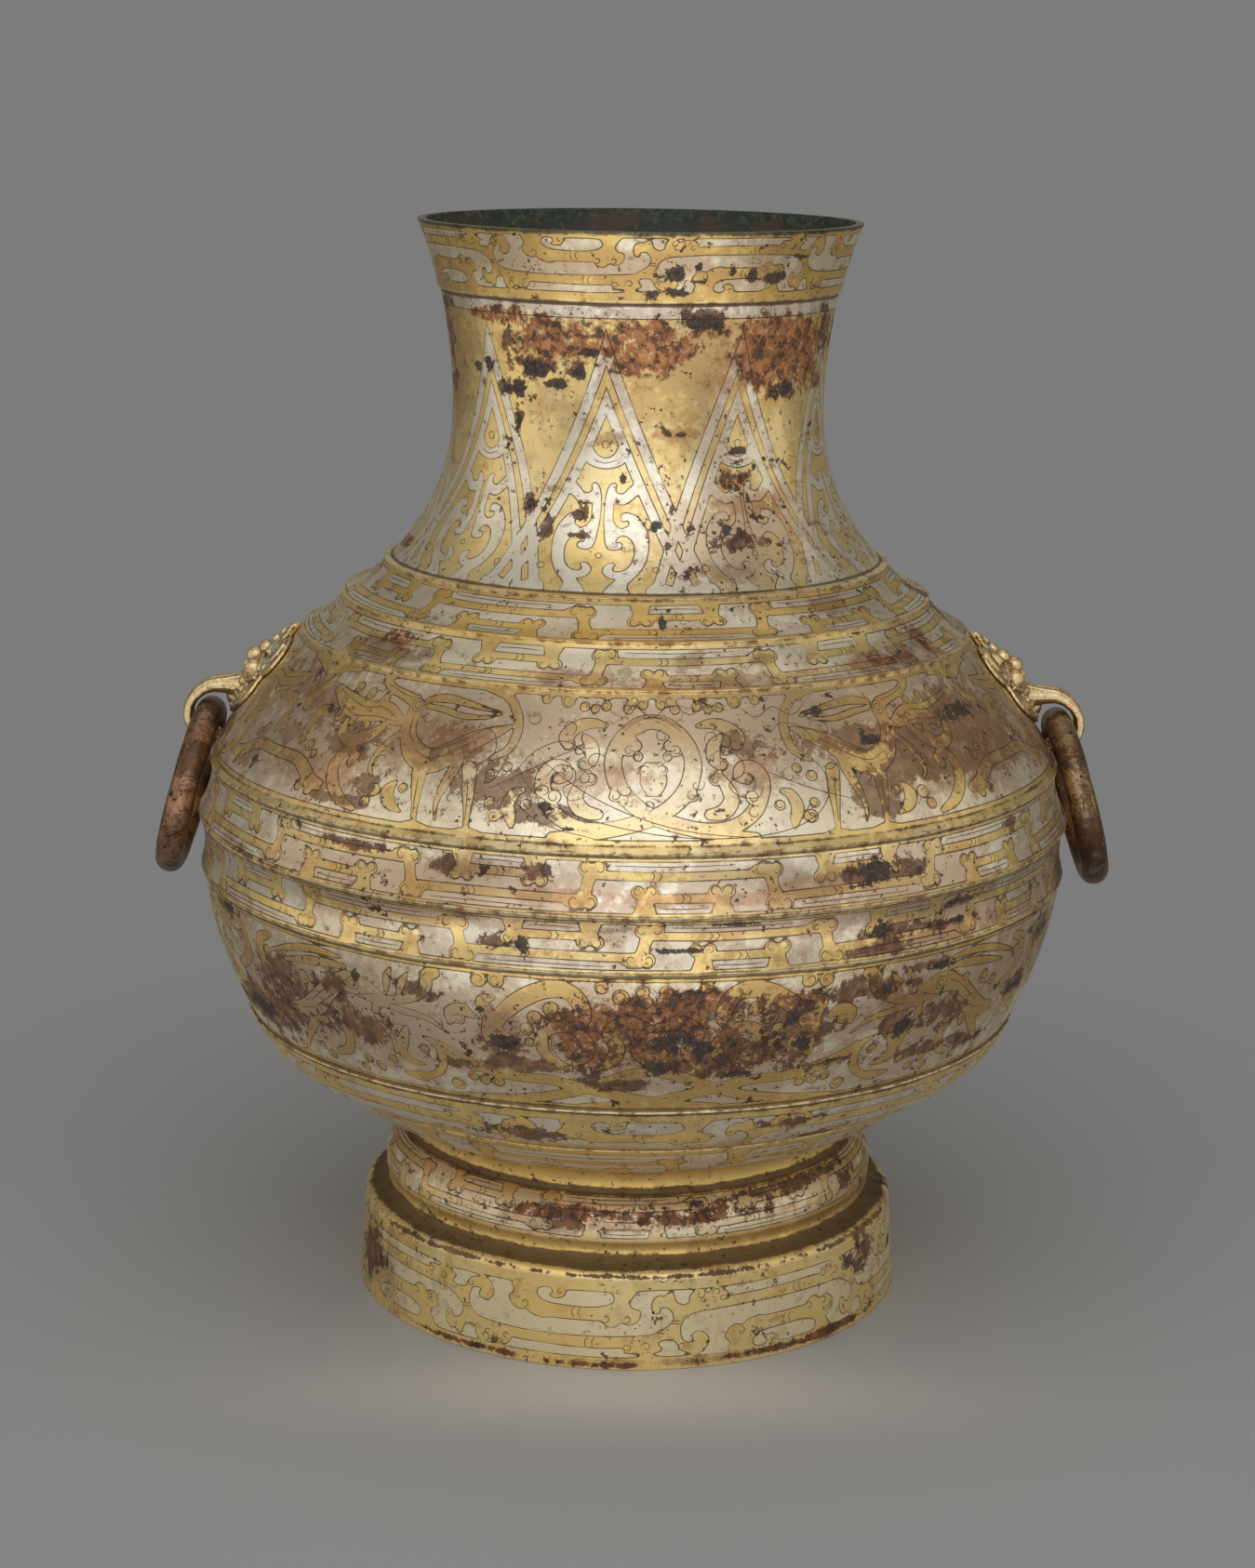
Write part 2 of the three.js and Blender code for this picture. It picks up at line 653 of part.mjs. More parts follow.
const gildedBronze = new THREE.MeshStandardMaterial({ color: 0xc2a45c, roughness: 0.38, metalness: 1 });
const brightGilding = new THREE.MeshStandardMaterial({ color: 0xd9b25e, roughness: 0.3, metalness: 1 });
const wornBronze = new THREE.MeshStandardMaterial({ color: 0x6a4630, roughness: 0.45, metalness: 1 });

function named(geometry, material, name) {
  const mesh = new THREE.Mesh(geometry, material);
  mesh.name = name;
  return mesh;
}

function cutVessel() {
  let vessel = vesselSolid();
  for (const turn of [0, Math.PI]) {
    for (const up of [upperTangUp, lowerTangUp]) {
      vessel = vessel.subtract(solidOf(tangSlot(up).rotateZ(turn)));
    }
  }
  return vessel;
}

const maskGeometry = geometryOf(maskSolid());
const ringLean = restLean();

// One side's mask with its ring, as it stands on the right.
function handle(side) {
  const group = new THREE.Group();
  const swing = new THREE.Group();
  swing.position.copy(hinge);
  swing.rotation.y = -ringLean;
  swing.add(named(ringGeometry(), wornBronze, side + "_ring"));
  return group.add(named(maskGeometry, brightGilding, side + "_mask"), swing);
}

const jar = new THREE.Group();
const leftHandle = handle("left");
leftHandle.rotation.z = Math.PI;
jar.add(named(geometryOf(cutVessel()), gildedBronze, "vessel_body"), handle("right"), leftHandle);

export default jar;
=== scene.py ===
import math

import bpy
import numpy as np
from mathutils import Matrix, Vector


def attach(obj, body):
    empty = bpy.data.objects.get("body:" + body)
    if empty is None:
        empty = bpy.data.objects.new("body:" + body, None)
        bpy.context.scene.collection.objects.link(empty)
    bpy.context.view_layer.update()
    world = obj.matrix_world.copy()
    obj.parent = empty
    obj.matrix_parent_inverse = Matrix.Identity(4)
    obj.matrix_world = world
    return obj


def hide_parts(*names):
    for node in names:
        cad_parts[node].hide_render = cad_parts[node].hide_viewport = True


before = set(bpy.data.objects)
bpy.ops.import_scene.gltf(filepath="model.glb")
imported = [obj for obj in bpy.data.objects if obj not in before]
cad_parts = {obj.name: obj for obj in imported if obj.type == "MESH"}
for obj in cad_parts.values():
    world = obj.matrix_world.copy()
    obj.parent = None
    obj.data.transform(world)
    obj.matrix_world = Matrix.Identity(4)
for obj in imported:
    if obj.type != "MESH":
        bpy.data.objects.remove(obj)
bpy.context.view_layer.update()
MM = 0.001
STEP = 1.1
TAU = 2 * math.pi

# Forms that come back along the outline
BAND_HOLLOW = 1.7
ARRIS_PROUD = 0.9
BEAD_PROUD = 1.1
NECK_WAIST, FLARE_POWER = 76.2, 2.35
LIP_RADIUS, BODY_HEIGHT = 87.2, 450


# Outline of the turned body, as stretches of (radius, height)
def bowed(start, end, bulge=0.0):
    start, end = np.array(start, float), np.array(end, float)
    chord = end - start
    out = np.array([chord[1], -chord[0]]) / np.hypot(*chord)
    control = (start + end) / 2 + out * 2 * bulge
    t = np.linspace(0, 1, max(2, math.ceil(np.hypot(*chord) / STEP)) + 1)[:, None]
    return (1 - t) ** 2 * start + 2 * t * (1 - t) * control + t**2 * end


class Outline:
    def __init__(self, radius, height):
        self.end = (radius, height)
        self.stretches = []

    def add(self, name, points):
        self.stretches.append((name, np.array(points)))
        self.end = tuple(points[-1])

    def bow(self, name, radius, rise, bulge=0.0):
        self.add(name, bowed(self.end, (radius, self.end[1] + rise), bulge))

    def arris(self, name, radius):
        height = self.end[1]
        self.add(name, [self.end, (radius - ARRIS_PROUD, height - 0.02), (radius, height + ARRIS_PROUD)])

    def bead(self, name):
        radius, height = self.end
        middle, top = (radius + BEAD_PROUD, height + BEAD_PROUD), (radius, height + 2 * BEAD_PROUD)
        self.add(name, [self.end, middle, top])


def body_outline():
    line = Outline(116, 0)
    line.bow("plinth", 113.4, 36)
    line.bow("plinth_bead", 109.8, 4.6, 1.3)
    line.bow("cavetto_step", 106.6, 0.9)
    line.bow("cavetto", 104.4, 8.2, -2.1)
    line.bow("swell", 96.2, 18, 2.6)
    line.bow("foot_neck", 104, 12, -4.2)
    line.bow("bowl", 133.4, 18.6, 2.2)
    line.bead("bowl_bead")
    line.bow("low_band", 161.8, 23.4, 5)
    line.bead("low_bead")
    line.bow("lower_belly", 180.2, 58.1, 3.1)
    line.arris("belt_foot", 181.4)
    line.bow("belt_low", 181.3, 21, -BAND_HOLLOW)
    line.arris("belt_ridge", 182.2)
    line.bow("belt_top", 176.3, 21.9, -BAND_HOLLOW)
    line.arris("belly_ridge", 177.2)
    line.bow("belly_foot", 175, 2.7)
    foot = np.array(line.end)
    turn, top = foot + [-2.6, 9.1], foot + [-36.7, 49.9]
    t = np.linspace(0, 1, 60)[:, None]
    line.add("upper_belly", (1 - t) ** 2 * foot + 2 * t * (1 - t) * turn + t**2 * top)
    line.arris("shoulder_foot", 139.2)
    line.bow("shoulder_low", 121.3, 14.3, -BAND_HOLLOW)
    line.arris("shoulder_ridge", 122.2)
    line.bow("shoulder_top", 103.7, 12.9, -BAND_HOLLOW)
    line.arris("neck_ridge", 104.6)
    line.bow("neck_step", 101.2, 0.8)
    radius, height = line.end
    t = np.linspace(0, 1, 64)
    flare = NECK_WAIST + (radius - NECK_WAIST) * (1 - t) ** FLARE_POWER
    line.add("neck_flare", np.stack([flare, height + 64.9 * t], 1))
    radius, height = line.end
    t = np.linspace(0, 1, 42)
    line.add("neck_rise", np.stack([radius + 4.9 * t**1.8, height + 44 * t], 1))
    line.bow("collar_step", 82.1, 0.8)
    line.bow("collar", 90.6, 27.2, -0.7)
    line.bow("lip", LIP_RADIUS, 0.0)
    return line.stretches


# Corners that turn by more than CORNER_TURN radians are rounded. Worn edges, partly a painted edge highlight,
# and dirt, partly painted shade, reach a little way from them, and count in full from FULL_TURN on.
CORNER_TURN, ROUNDING = 0.2, 0.4
FULL_TURN, WEAR_AND_SHEEN_REACH, DIRT_AND_SHADE_REACH = 0.7, 0.7, 1.0


class Rows:
    """The outline as rows with rounded corners: stretch, place along it, nearness of the closest corner."""

    def __init__(self, stretches):
        corners, self.names = [], [name for name, _ in stretches]
        points, stretch, along = [], [], []
        for k, (_, line) in enumerate(stretches):
            steps = np.r_[0, np.cumsum(np.hypot(*np.diff(line, axis=0).T))]
            for i, (p, s) in enumerate(zip(line, steps)):
                if i == 0 and k > 0:
                    continue
                points.append(p)
                stretch.append(k)
                along.append(s)
        points = np.array(points)
        made, self.stretch, self.along = [], [], []
        last = len(points) - 1
        for i, p in enumerate(points):
            turn = 0.0
            if 0 < i < last:
                before, after = p - points[i - 1], points[i + 1] - p
                before, after = before / np.hypot(*before), after / np.hypot(*after)
                turn = math.asin(np.clip(before[0] * after[1] - before[1] * after[0], -1, 1))
            if abs(turn) > CORNER_TURN:
                reach = [min(ROUNDING, 0.45 * np.hypot(*(points[i + d] - p))) for d in (-1, 1)]
                a = p + (points[i - 1] - p) / np.hypot(*(points[i - 1] - p)) * reach[0]
                b = p + (points[i + 1] - p) / np.hypot(*(points[i + 1] - p)) * reach[1]
                for t in (0, 0.25, 0.5, 0.75, 1):
                    made.append((1 - t) ** 2 * a + 2 * t * (1 - t) * p + t**2 * b)
                    self.stretch.append(stretch[i])
                    self.along.append(along[i])
                corners.append((len(made) - 3, turn))
            else:
                made.append(p)
                self.stretch.append(stretch[i])
                self.along.append(along[i])
        self.points = np.array(made)
        self.stretch, self.along = np.array(self.stretch), np.array(self.along)
        self.run = np.r_[0, np.cumsum(np.hypot(*np.diff(self.points, axis=0).T))]
        self.convex, self.hollow = np.zeros(len(made)), np.zeros(len(made))
        for i, turn in corners:
            away = np.abs(self.run - self.run[i])
            near = self.convex if turn > 0 else self.hollow
            size = min(1.0, abs(turn) / FULL_TURN)
            reach = WEAR_AND_SHEEN_REACH if turn > 0 else DIRT_AND_SHADE_REACH
            np.maximum(near, size * np.exp(-((away / reach) ** 2)), out=near)
        ahead = np.gradient(self.points, axis=0)
        self.normal = np.stack([ahead[:, 1], -ahead[:, 0]], 1)
        self.normal /= np.hypot(*self.normal.T)[:, None]


rows = Rows(body_outline())
LENGTH = {name: rows.along[rows.stretch == k].max() for k, name in enumerate(rows.names)}
RADIUS = {name: rows.points[rows.stretch == k, 0].mean() for k, name in enumerate(rows.names)}


# The casting isn't perfectly true: long shallow waves, and a few dents as (angle, height, size, depth)
WAVES = np.random.default_rng(11)
WAVE_TERMS = [
    (n, WAVES.uniform(0.02, 0.11), WAVES.uniform(0, TAU), 0.34 / (n**0.75))
    for n in (2, 3, 5, 7, 8, 11, 13, 17, 19, 23)
]
DENTS = [
    (-16, 331, 13, 0.8), (10, 352, 17, 0.5), (-38, 366, 15, 0.5), (48, 345, 18, 0.6), (150, 350, 16, 0.7),
    (-12, 262, 20, 0.35), (26, 250, 24, 0.4), (-60, 170, 26, 0.4), (80, 290, 20, 0.4), (200, 160, 28, 0.5),
]
# A dent's width is measured at DENT_RADIUS, and UNEVEN_SHARE keeps all of it inside the solid's box
WAVE_SHARE, DENT_RADIUS, UNEVEN_SHARE = 0.5, 90, 0.32


def uneven(angle, height):
    total = np.zeros(np.broadcast(angle, height).shape)
    for n, slant, phase, size in WAVE_TERMS:
        total = total + size * WAVE_SHARE * (np.sin(n * angle + slant * height + phase) - 1)
    for at, up, size, depth in DENTS:
        turn = (angle - math.radians(at) + math.pi) % TAU - math.pi
        total = total - depth * np.exp(-((turn * DENT_RADIUS / size) ** 2 + ((height - up) / size) ** 2))
    return total * UNEVEN_SHARE


# Ornament, drawn as strokes in millimetres along the girth and up the outline
def spline(points, steps=6):
    p = np.array(points, float)
    p = np.vstack([2 * p[0] - p[1], p, 2 * p[-1] - p[-2]])
    made = []
    for a, b, c, d in zip(p, p[1:], p[2:], p[3:]):
        for t in np.arange(steps) / steps:
            square, cube = 2 * a - 5 * b + 4 * c - d, 3 * b - a - 3 * c + d
            made.append(0.5 * (2 * b + (c - a) * t + square * t**2 + cube * t**3))
    made.append(p[-2])
    return np.array(made)


# Distances from a figure are worked out this far only, and cut off at FAR
NEAR_FIGURE, FAR = 8, 12.0


class Motif:
    """One repeat of an ornament. Gold ground takes silver figures, silver ground takes gold ones."""

    def __init__(self, width, length, ground):
        self.width = width
        self.length = length
        self.ground = ground
        self.strokes = []
        self.areas = []
        self.lines = []

    # A ribbon of (across, up, half width)
    def stroke(self, *points):
        self.strokes.append(spline(points))

    # A closed figure of (across, up)
    def area(self, *points):
        self.areas.append(spline([*points, points[0]], 4))

    def line(self, *points):
        self.lines.append(spline(points)[:, :2])

    def ring(self, x, y, size):
        t = np.linspace(0, TAU, 15)
        self.lines.append(np.stack([x + size * np.cos(t), y + size * np.sin(t)], 1))

    # A fine inner curl that starts on a lobe's edge at the given angle
    def curl(self, x, y, size, turn=0.0, way=1, reach=5.2):
        t = np.linspace(0, 1, 13)
        angle = math.radians(turn) + way * t * reach
        away = size * (1 - 0.72 * t)
        self.lines.append(np.stack([x + away * np.cos(angle), y + away * np.sin(angle)], 1))

    # A round cloud lobe with its curl
    def head(self, x, y, size, turn=0.0, way=1):
        self.strokes.append(np.array([(x, y, size), (x + 0.01, y, size)]))
        self.curl(x, y, size, turn, way)

    # A short double tick across a bar
    def ticks(self, x, y, reach):
        for shift in (0.0, 2.6):
            self.line((x + shift, y - reach), (x + shift + 1.1, y), (x + shift, y + reach))

    # Adds another motif's figures, moved along, stretched, and upside down if asked
    def take(self, other, place=0.0, across=1.0, up=1.0, height=None):
        scale, move = np.array([across, up]), np.array([place, 0.0])
        if height is not None:
            scale, move = np.array([across, -up]), np.array([place, height])
        for s in other.strokes:
            self.strokes.append(np.column_stack([s[:, :2] * scale + move, s[:, 2] * min(across, up)]))
        self.areas += [area * scale + move for area in other.areas]
        self.lines += [line * scale + move for line in other.lines]

    def mirror(self):
        self.strokes += [s * [-1, 1, 1] for s in self.strokes]
        self.areas += [area * [-1, 1] for area in self.areas]
        self.lines += [line * [-1, 1] for line in self.lines]

    # Signed distance to the figures, negative inside. The repeat goes on to both sides.
    def distance(self, x, y):
        best = np.full(x.shape, FAR)
        for figure, closed in [(s, False) for s in self.strokes] + [(area, True) for area in self.areas]:
            margin = NEAR_FIGURE + (0 if closed else figure[:, 2].max())
            for shift in (-self.width, 0.0, self.width):
                px, py = x - shift, y
                low, high = figure[:, :2].min(0) - margin, figure[:, :2].max(0) + margin
                near = np.nonzero((px > low[0]) & (px < high[0]) & (py > low[1]) & (py < high[1]))
                if not len(near[0]):
                    continue
                found = away_from(figure, closed, px[near], py[near])
                best[near] = np.minimum(best[near], found)
        return best

    # Negative in gold, positive in silver
    def gilding(self, x, y, border):
        rim = np.minimum(y, self.length - y) - border
        figures = self.distance(x, y)
        return np.minimum(-figures if self.ground == "gold" else figures, rim)


def away_from(figure, closed, px, py):
    found = np.full(px.shape, FAR)
    inside = np.zeros(px.shape, bool)
    for a, b in zip(figure, figure[1:]):
        dx, dy = b[0] - a[0], b[1] - a[1]
        qx, qy = px - a[0], py - a[1]
        t = np.clip((qx * dx + qy * dy) / max(dx * dx + dy * dy, 1e-9), 0, 1)
        width = 0.0 if closed else a[2] + t * (b[2] - a[2])
        found = np.minimum(found, np.hypot(qx - t * dx, qy - t * dy) - width)
        if closed and dy != 0:
            crossed = ((a[1] > py) != (b[1] > py)) & (qx < dx * qy / dy)
            inside ^= crossed
    return np.where(inside, -found, found) if closed else found


# Gold cloud figures on silver between gold borders, as on the belt: every second bay is upside down
def cloud_band(width, height):
    bay = Motif(width / 2, height, "silver")
    # One bay is drawn this wide and high
    w, h = 71.0, 21.0
    bay.stroke((-2.2, 15.5, 2.7), (-0.8, 12, 2.3), (0, 9, 2.3), (1.4, 5, 2.8))
    for x, y, turn, way in (
        (-4.9, 15.5, 40, 1), (1.0, 15.5, 140, -1), (-1.0, 4.4, -40, -1), (4.2, 4.2, -140, 1)
    ):
        bay.head(x, y, 2.8, turn, way)
    for place in (21.5, 50.5):
        bay.stroke((place, 19, 4.2), (place, 16.5, 3.1), (place, 13.5, 3.0))
        bay.head(place - 2.7, 11.9, 2.5, 10, -1)
        bay.head(place + 2.7, 11.9, 2.5, 170, 1)
    bay.stroke((23, 14.1, 1.7), (49, 14.1, 1.7))
    bay.stroke((4, 6.4, 1.7), (30, 6.8, 1.7), (w - 5, 6.4, 1.7))
    bay.stroke((w - 8, 5.2, 1.3), (w - 4.5, 4.6, 2.2))
    bay.ticks(35, 14.1, 1.5)
    bay.ticks(24, 6.6, 1.5)
    bay.line((27, 17.4), (36, 17.7), (45, 17.4))
    bay.line((10, 3.1), (30, 3.4), (56, 3.1))
    m = Motif(width, height, "silver")
    m.take(bay, 0, width / 2 / w, height / h)
    m.take(bay, width / 2, width / 2 / w, height / h, height)
    return m


# Silver boats with hooked ends on gold, as round the foot: every second boat is upside down
def boats(width, height):
    boat = Motif(width / 2, height, "gold")
    for shape in (
        [(-47, 32.8), (-46, 32.1), (-44, 30.9), (-42.5, 28.6), (-42, 26.1), (-43, 24.1), (-45, 22.6),
         (-47, 22.7), (-48.4, 23.6), (-48.6, 25.1), (-47.8, 26.4), (-48.8, 26.9), (-50.5, 26.9), (-52, 25.9),
         (-52.9, 23.6), (-53.1, 21.1), (-52.5, 18.9), (-51, 16.6), (-49, 15.4), (-46, 14.6), (-41, 14.1),
         (-26, 13.4), (0, 13.6), (10, 13.9), (20, 14.5), (23, 15.9), (26, 17.6), (28, 19.6), (28.5, 21.6),
         (28, 23.6), (26.5, 25.4), (24.5, 25.9), (23.4, 25.1), (23.5, 23.9), (22, 23.1), (20.6, 24.1),
         (20.1, 26.1), (20.3, 28.1), (21.5, 30.1), (23.5, 30.9), (25, 30.4), (25.5, 31.1), (27.5, 32),
         (29.5, 31.6), (30.5, 30.1), (30, 28.6), (31, 27.1), (33, 26.6), (34.5, 27.6), (34.8, 29.1),
         (34.3, 30.1), (36, 32.1), (38.5, 32.6), (30, 33), (16.3, 32.9), (14, 31.4), (12.3, 29.1),
         (11.8, 27.6), (13, 25.6), (15.3, 25), (16, 24.1), (16, 22.6), (15.3, 20.6), (13.5, 19.1), (11, 18.7),
         (8.8, 19.6), (8, 18.9), (6, 17.6), (3.5, 17.9), (1.5, 19.6), (1, 20.1), (-2, 20.1), (-18, 20),
         (-21, 19.4), (-26, 20.4), (-28, 22.1), (-31, 21.6), (-33.5, 22.6), (-35, 24.6), (-35.6, 26.4),
         (-34.5, 27.6), (-33.5, 29.1), (-34.5, 31.6), (-35, 32.8)],
        [(-24, 29.1), (-23.8, 31.1), (-22.3, 32.2), (-19.5, 32.4), (-18, 31.4), (-18.1, 30.1), (-19.3, 29.4),
         (-18.5, 28.6), (-16.5, 28.2), (-14.5, 28.6), (-12.8, 30.1), (-12.6, 31.8), (-8, 32.3), (3.5, 32.1),
         (5.5, 30.6), (6, 29.1), (5, 27.6), (2, 26.4), (-4, 25.6), (-16, 25.9), (-20, 26.4), (-22.5, 27.4)],
        [(-33.8, 9.2), (-34, 8.1), (-35.5, 6.1), (-37.5, 5), (-20, 4.9), (12, 5), (15.5, 6.6), (10.2, 6.9),
         (9.4, 8.9), (0, 8.6), (-21, 8.9)],
        [(-42.3, 7), (-40.5, 5.5), (-39.5, 5), (-46, 5), (-44, 5.7)],
        [(-50, 9.6), (-51, 10.5), (-52.8, 10.7), (-54.3, 10.1), (-55.2, 8.4), (-55.6, 6.5), (-56.3, 5.2),
         (-51, 5), (-48, 6.0), (-49.5, 7.6)],
        [(23, 9.8), (22.9, 11.4), (25.5, 12.2), (28.5, 11.9), (30, 10.2), (30.6, 8.5), (32.5, 7), (36, 5.6),
         (27, 5.2), (20.5, 6.2), (24, 7.8), (24.2, 9)],
    ):
        boat.area(*shape)
    for curl in (
        (2.8, 21.2, 1.9, 225, 1), (10.6, 21.2, 2.0, 230, 1), (-29, 24.6, 1.9, -90, 1),
        (-36.4, 9.3, 1.5, 20, 1), (-44.2, 9.3, 1.5, 30, 1), (11.2, 8.8, 1.9, 160, -1),
        (18.2, 9.4, 2.1, 150, -1), (32, 9.4, 1.6, 200, -1), (39, 30.4, 2.0, 40, -1),
        (45.6, 30.6, 2.1, 200, -1), (-14.8, 31.2, 1.2, 90, 1),
    ):
        boat.curl(*curl)
    for x in (-10, -7.4):
        boat.line((x + 0.6, 25.3), (x - 0.3, 23.2), (x + 0.8, 20.9))
    for x in (-4.8, -2.2):
        boat.line((x + 1, 13.3), (x - 0.1, 11.3), (x + 0.3, 8.9))
    for run in (
        [(-56.5, 18.6), (-53, 19.2)],
        [(-56.5, 17.4), (-53, 17.9)],
    ):
        boat.line(*run)
    m = Motif(width, height, "gold")
    # Two boats are drawn on a field 168.6 wide and 36.1 high, shifted by 12
    stretch, k = width / 168.6, height / 36.1
    m.take(boat, 12 * stretch, stretch, k)
    m.take(boat, 12 * stretch + width / 2, stretch, k, 37.7 * k)
    return m


# Gold on silver, the same to both sides: looped ribbons that cross, clouds, and a long-legged crested bird
def bird_above(width, height):
    m = Motif(width, height, "silver")
    for run in (
        [(-6.5, 38.6, 2.2), (-10, 42, 2.9), (-7.5, 46.5, 3.0), (-1, 48.4, 3.0), (6, 46.8, 3.2), (12, 42, 3.3),
         (15.3, 35, 3.4), (15, 28, 3.4), (11.5, 20, 3.4), (4, 13, 3.2), (-6, 8.4, 3.0), (-20, 4.6, 2.5),
         (-36, 2.6, 1.8)],
        [(-2.4, 31, 1.4), (1.3, 29.4, 2.1), (2.7, 25.4, 2.4), (1.2, 21.2, 1.9), (-2.5, 19.4, 0.6)],
        [(36, 24.5, 2.0), (33.2, 26.4, 2.5), (35.2, 29.6, 2.7), (39.8, 28.9, 2.9), (42, 24, 3.0),
         (39.8, 17, 3.0), (35.5, 11, 2.9), (28, 6.8, 2.7), (18, 6.2, 2.5), (6, 9.2, 2.5), (-4, 13.6, 2.3),
         (-12, 18.4, 1.6)],
        [(19, 46.6, 1.0), (25, 47.4, 2.2), (31, 45.8, 2.8), (35.2, 41.8, 3.0), (33.8, 38.6, 2.6)],
        [(27.5, 41.5, 1.6), (24.6, 38.5, 2.6), (24, 33.5, 2.7), (26, 30.6, 2.0)],
        [(25, 27, 1.6), (27.6, 22, 2.5), (28.8, 17, 2.9), (25.4, 12.6, 3.0), (20.4, 11.6, 2.2)],
        [(49, 19.4, 1.2), (52, 17.8, 2.2), (53.6, 13, 2.5), (51.8, 8.5, 2.0), (50.8, 5, 0.6)],
        [(74, 58.6, 1.2), (64, 56, 1.8), (58.4, 50.5, 2.0), (56, 43, 2.0), (58, 35, 1.8), (64, 31, 1.2)],
        [(59.5, 44, 1.0), (66, 41, 2.8), (74, 37, 4.0), (82, 31, 5.0), (90, 27, 5.4), (98, 29.4, 4.8),
         (103.4, 34.5, 3.8), (106, 41, 3.2), (106, 47, 3.8)],
        [(108, 49.8, 2.7), (116, 51.6, 2.1), (124, 53.4, 1.9), (129.5, 57, 2.3), (127.5, 60, 1.2)],
        [(102, 51, 1.4), (94, 52.8, 1.8), (84, 52, 1.6), (74, 50.6, 1.0), (66, 50.4, 0.4)],
        [(101, 48.6, 1.0), (92, 48.0, 1.4), (82, 46.4, 1.3), (72, 46.8, 0.9), (64, 49, 0.4)],
        [(108.5, 41.5, 1.5), (108, 37, 1.5), (112, 32, 1.6), (115, 27, 1.6), (115.6, 21, 1.2),
         (113, 17.6, 0.6)],
        [(92.5, 22, 3.2), (91, 15.5, 2.3), (89.5, 8.5, 1.3), (88.3, 2.6, 1.0)],
        [(82, 1.4, 0.7), (88.4, 2.4, 1.1), (95, 1.2, 0.6)],
        [(72, 26, 3.0), (70, 18, 2.5), (68.4, 9.5, 1.4), (67.4, 2.6, 1.0)],
        [(61.4, 1.4, 0.7), (67.4, 2.4, 1.1), (74, 1.2, 0.6)],
        [(77, 30, 1.6), (78.6, 24, 2.2), (80.4, 18, 1.8), (81.4, 11, 1.0), (80, 5, 0.5)],
        [(112, 41, 2.6), (121, 43.4, 4.4), (133, 42, 4.8), (145, 44, 4.4), (157, 48, 2.2)],
        [(118, 38, 1.6), (124, 32.4, 2.8), (132, 29.4, 3.0), (139, 32, 2.4), (140.6, 36.6, 1.6)],
        [(95, 6, 0.5), (100.6, 8.6, 2.4), (103.2, 13, 2.7), (101, 17, 0.8)],
        [(116, 4, 1.2), (124, 6.8, 2.4), (131, 12.6, 2.8), (134, 20, 2.8), (130, 25.4, 2.2),
         (124.4, 24, 1.6)],
        [(137, 9.6, 2.4), (143, 10.4, 3.2), (149, 14, 3.0), (157, 17, 2.6), (171.8, 17, 2.4)],
        [(160.4, 24, 1.4), (161, 31, 2.4), (158.6, 37.4, 3.0), (152, 38.4, 2.2)],
        [(163, 52, 1.2), (168, 46, 2.6), (171.8, 38, 2.8)],
        [(150, 58, 1.6), (160, 57, 2.2), (171.8, 53.6, 2.4)],
    ):
        m.stroke(*run)
    for lobe in (
        (-3.6, 29.2, 2.0, 20), (36.8, 17.6, 2.7, 90, -1), (27, 31, 2.4, -120), (29.2, 36.4, 1.9, -90),
        (23.8, 25, 2.5, 60), (14.3, 18.8, 2.2, 100), (9.4, 36.6, 2.3, 130, -1), (5.8, 34.4, 1.9, -90),
        (46.8, 14, 2.1, 60), (58, 9, 2.7, 200), (60.6, 14, 2.0, 120), (62.4, 24.5, 2.3, 0),
        (57, 28, 2.1, 200), (4, 55.6, 2.4, -120), (10, 53.6, 2.3, -60), (19.6, 54.6, 2.2, -120),
        (24.4, 53.4, 2.0, -90), (29, 54, 2.2, -60), (36.5, 56.4, 3.2, -140), (46, 56.6, 2.4, -60),
        (-8, 57, 2.6, -120), (128, 36, 2.6, 90), (136, 37.4, 2.4, 30), (146, 38, 2.8, -60),
        (124.6, 48.6, 2.4, 60), (134, 49.6, 2.6, 90), (143, 51, 2.4, 60), (109.6, 12.4, 2.8, 200),
        (111.6, 7.4, 2.3, 120), (97, 15, 2.0, 60), (126, 21.4, 2.4, 60, -1), (141.6, 6.8, 2.3, 200),
        (147.6, 7.4, 2.2, 270), (153, 23.4, 2.6, 60), (148.4, 20.6, 2.0, 120),
    ):
        m.head(*lobe)
    for curl in ((-6.5, 39.3, 3.4, -150, 1), (36.4, 24.6, 3.2, 160, -1), (33.6, 38.9, 2.9, -20, -1)):
        m.curl(*curl)
    for eye in ((106, 48.4, 2.9), (106, 48.4, 1.5)):
        m.ring(*eye)
    for run in (
        [(62, 44), (70, 42), (80, 36), (90, 31.6), (98, 33.4)],
        [(70, 39.5), (80, 32.5), (90, 28), (99, 30.6)],
        [(100, 33), (104, 37), (105.4, 43)],
        [(110, 51), (118, 52.4), (126, 54.6)],
        [(114, 42), (124, 45), (134, 43.6), (146, 45.8), (154, 48)],
        [(116, 40.4), (126, 40.8), (136, 39.6), (147, 42)],
        [(92, 19.5), (90.6, 12), (89.4, 6)],
        [(71.4, 22), (69.6, 14), (68.4, 6)],
        [(-12, 46), (-4, 50), (5, 49), (12, 44.4)],
    ):
        m.line(*run)
    done = finished(m, width, height)
    interlaced(done)
    return done


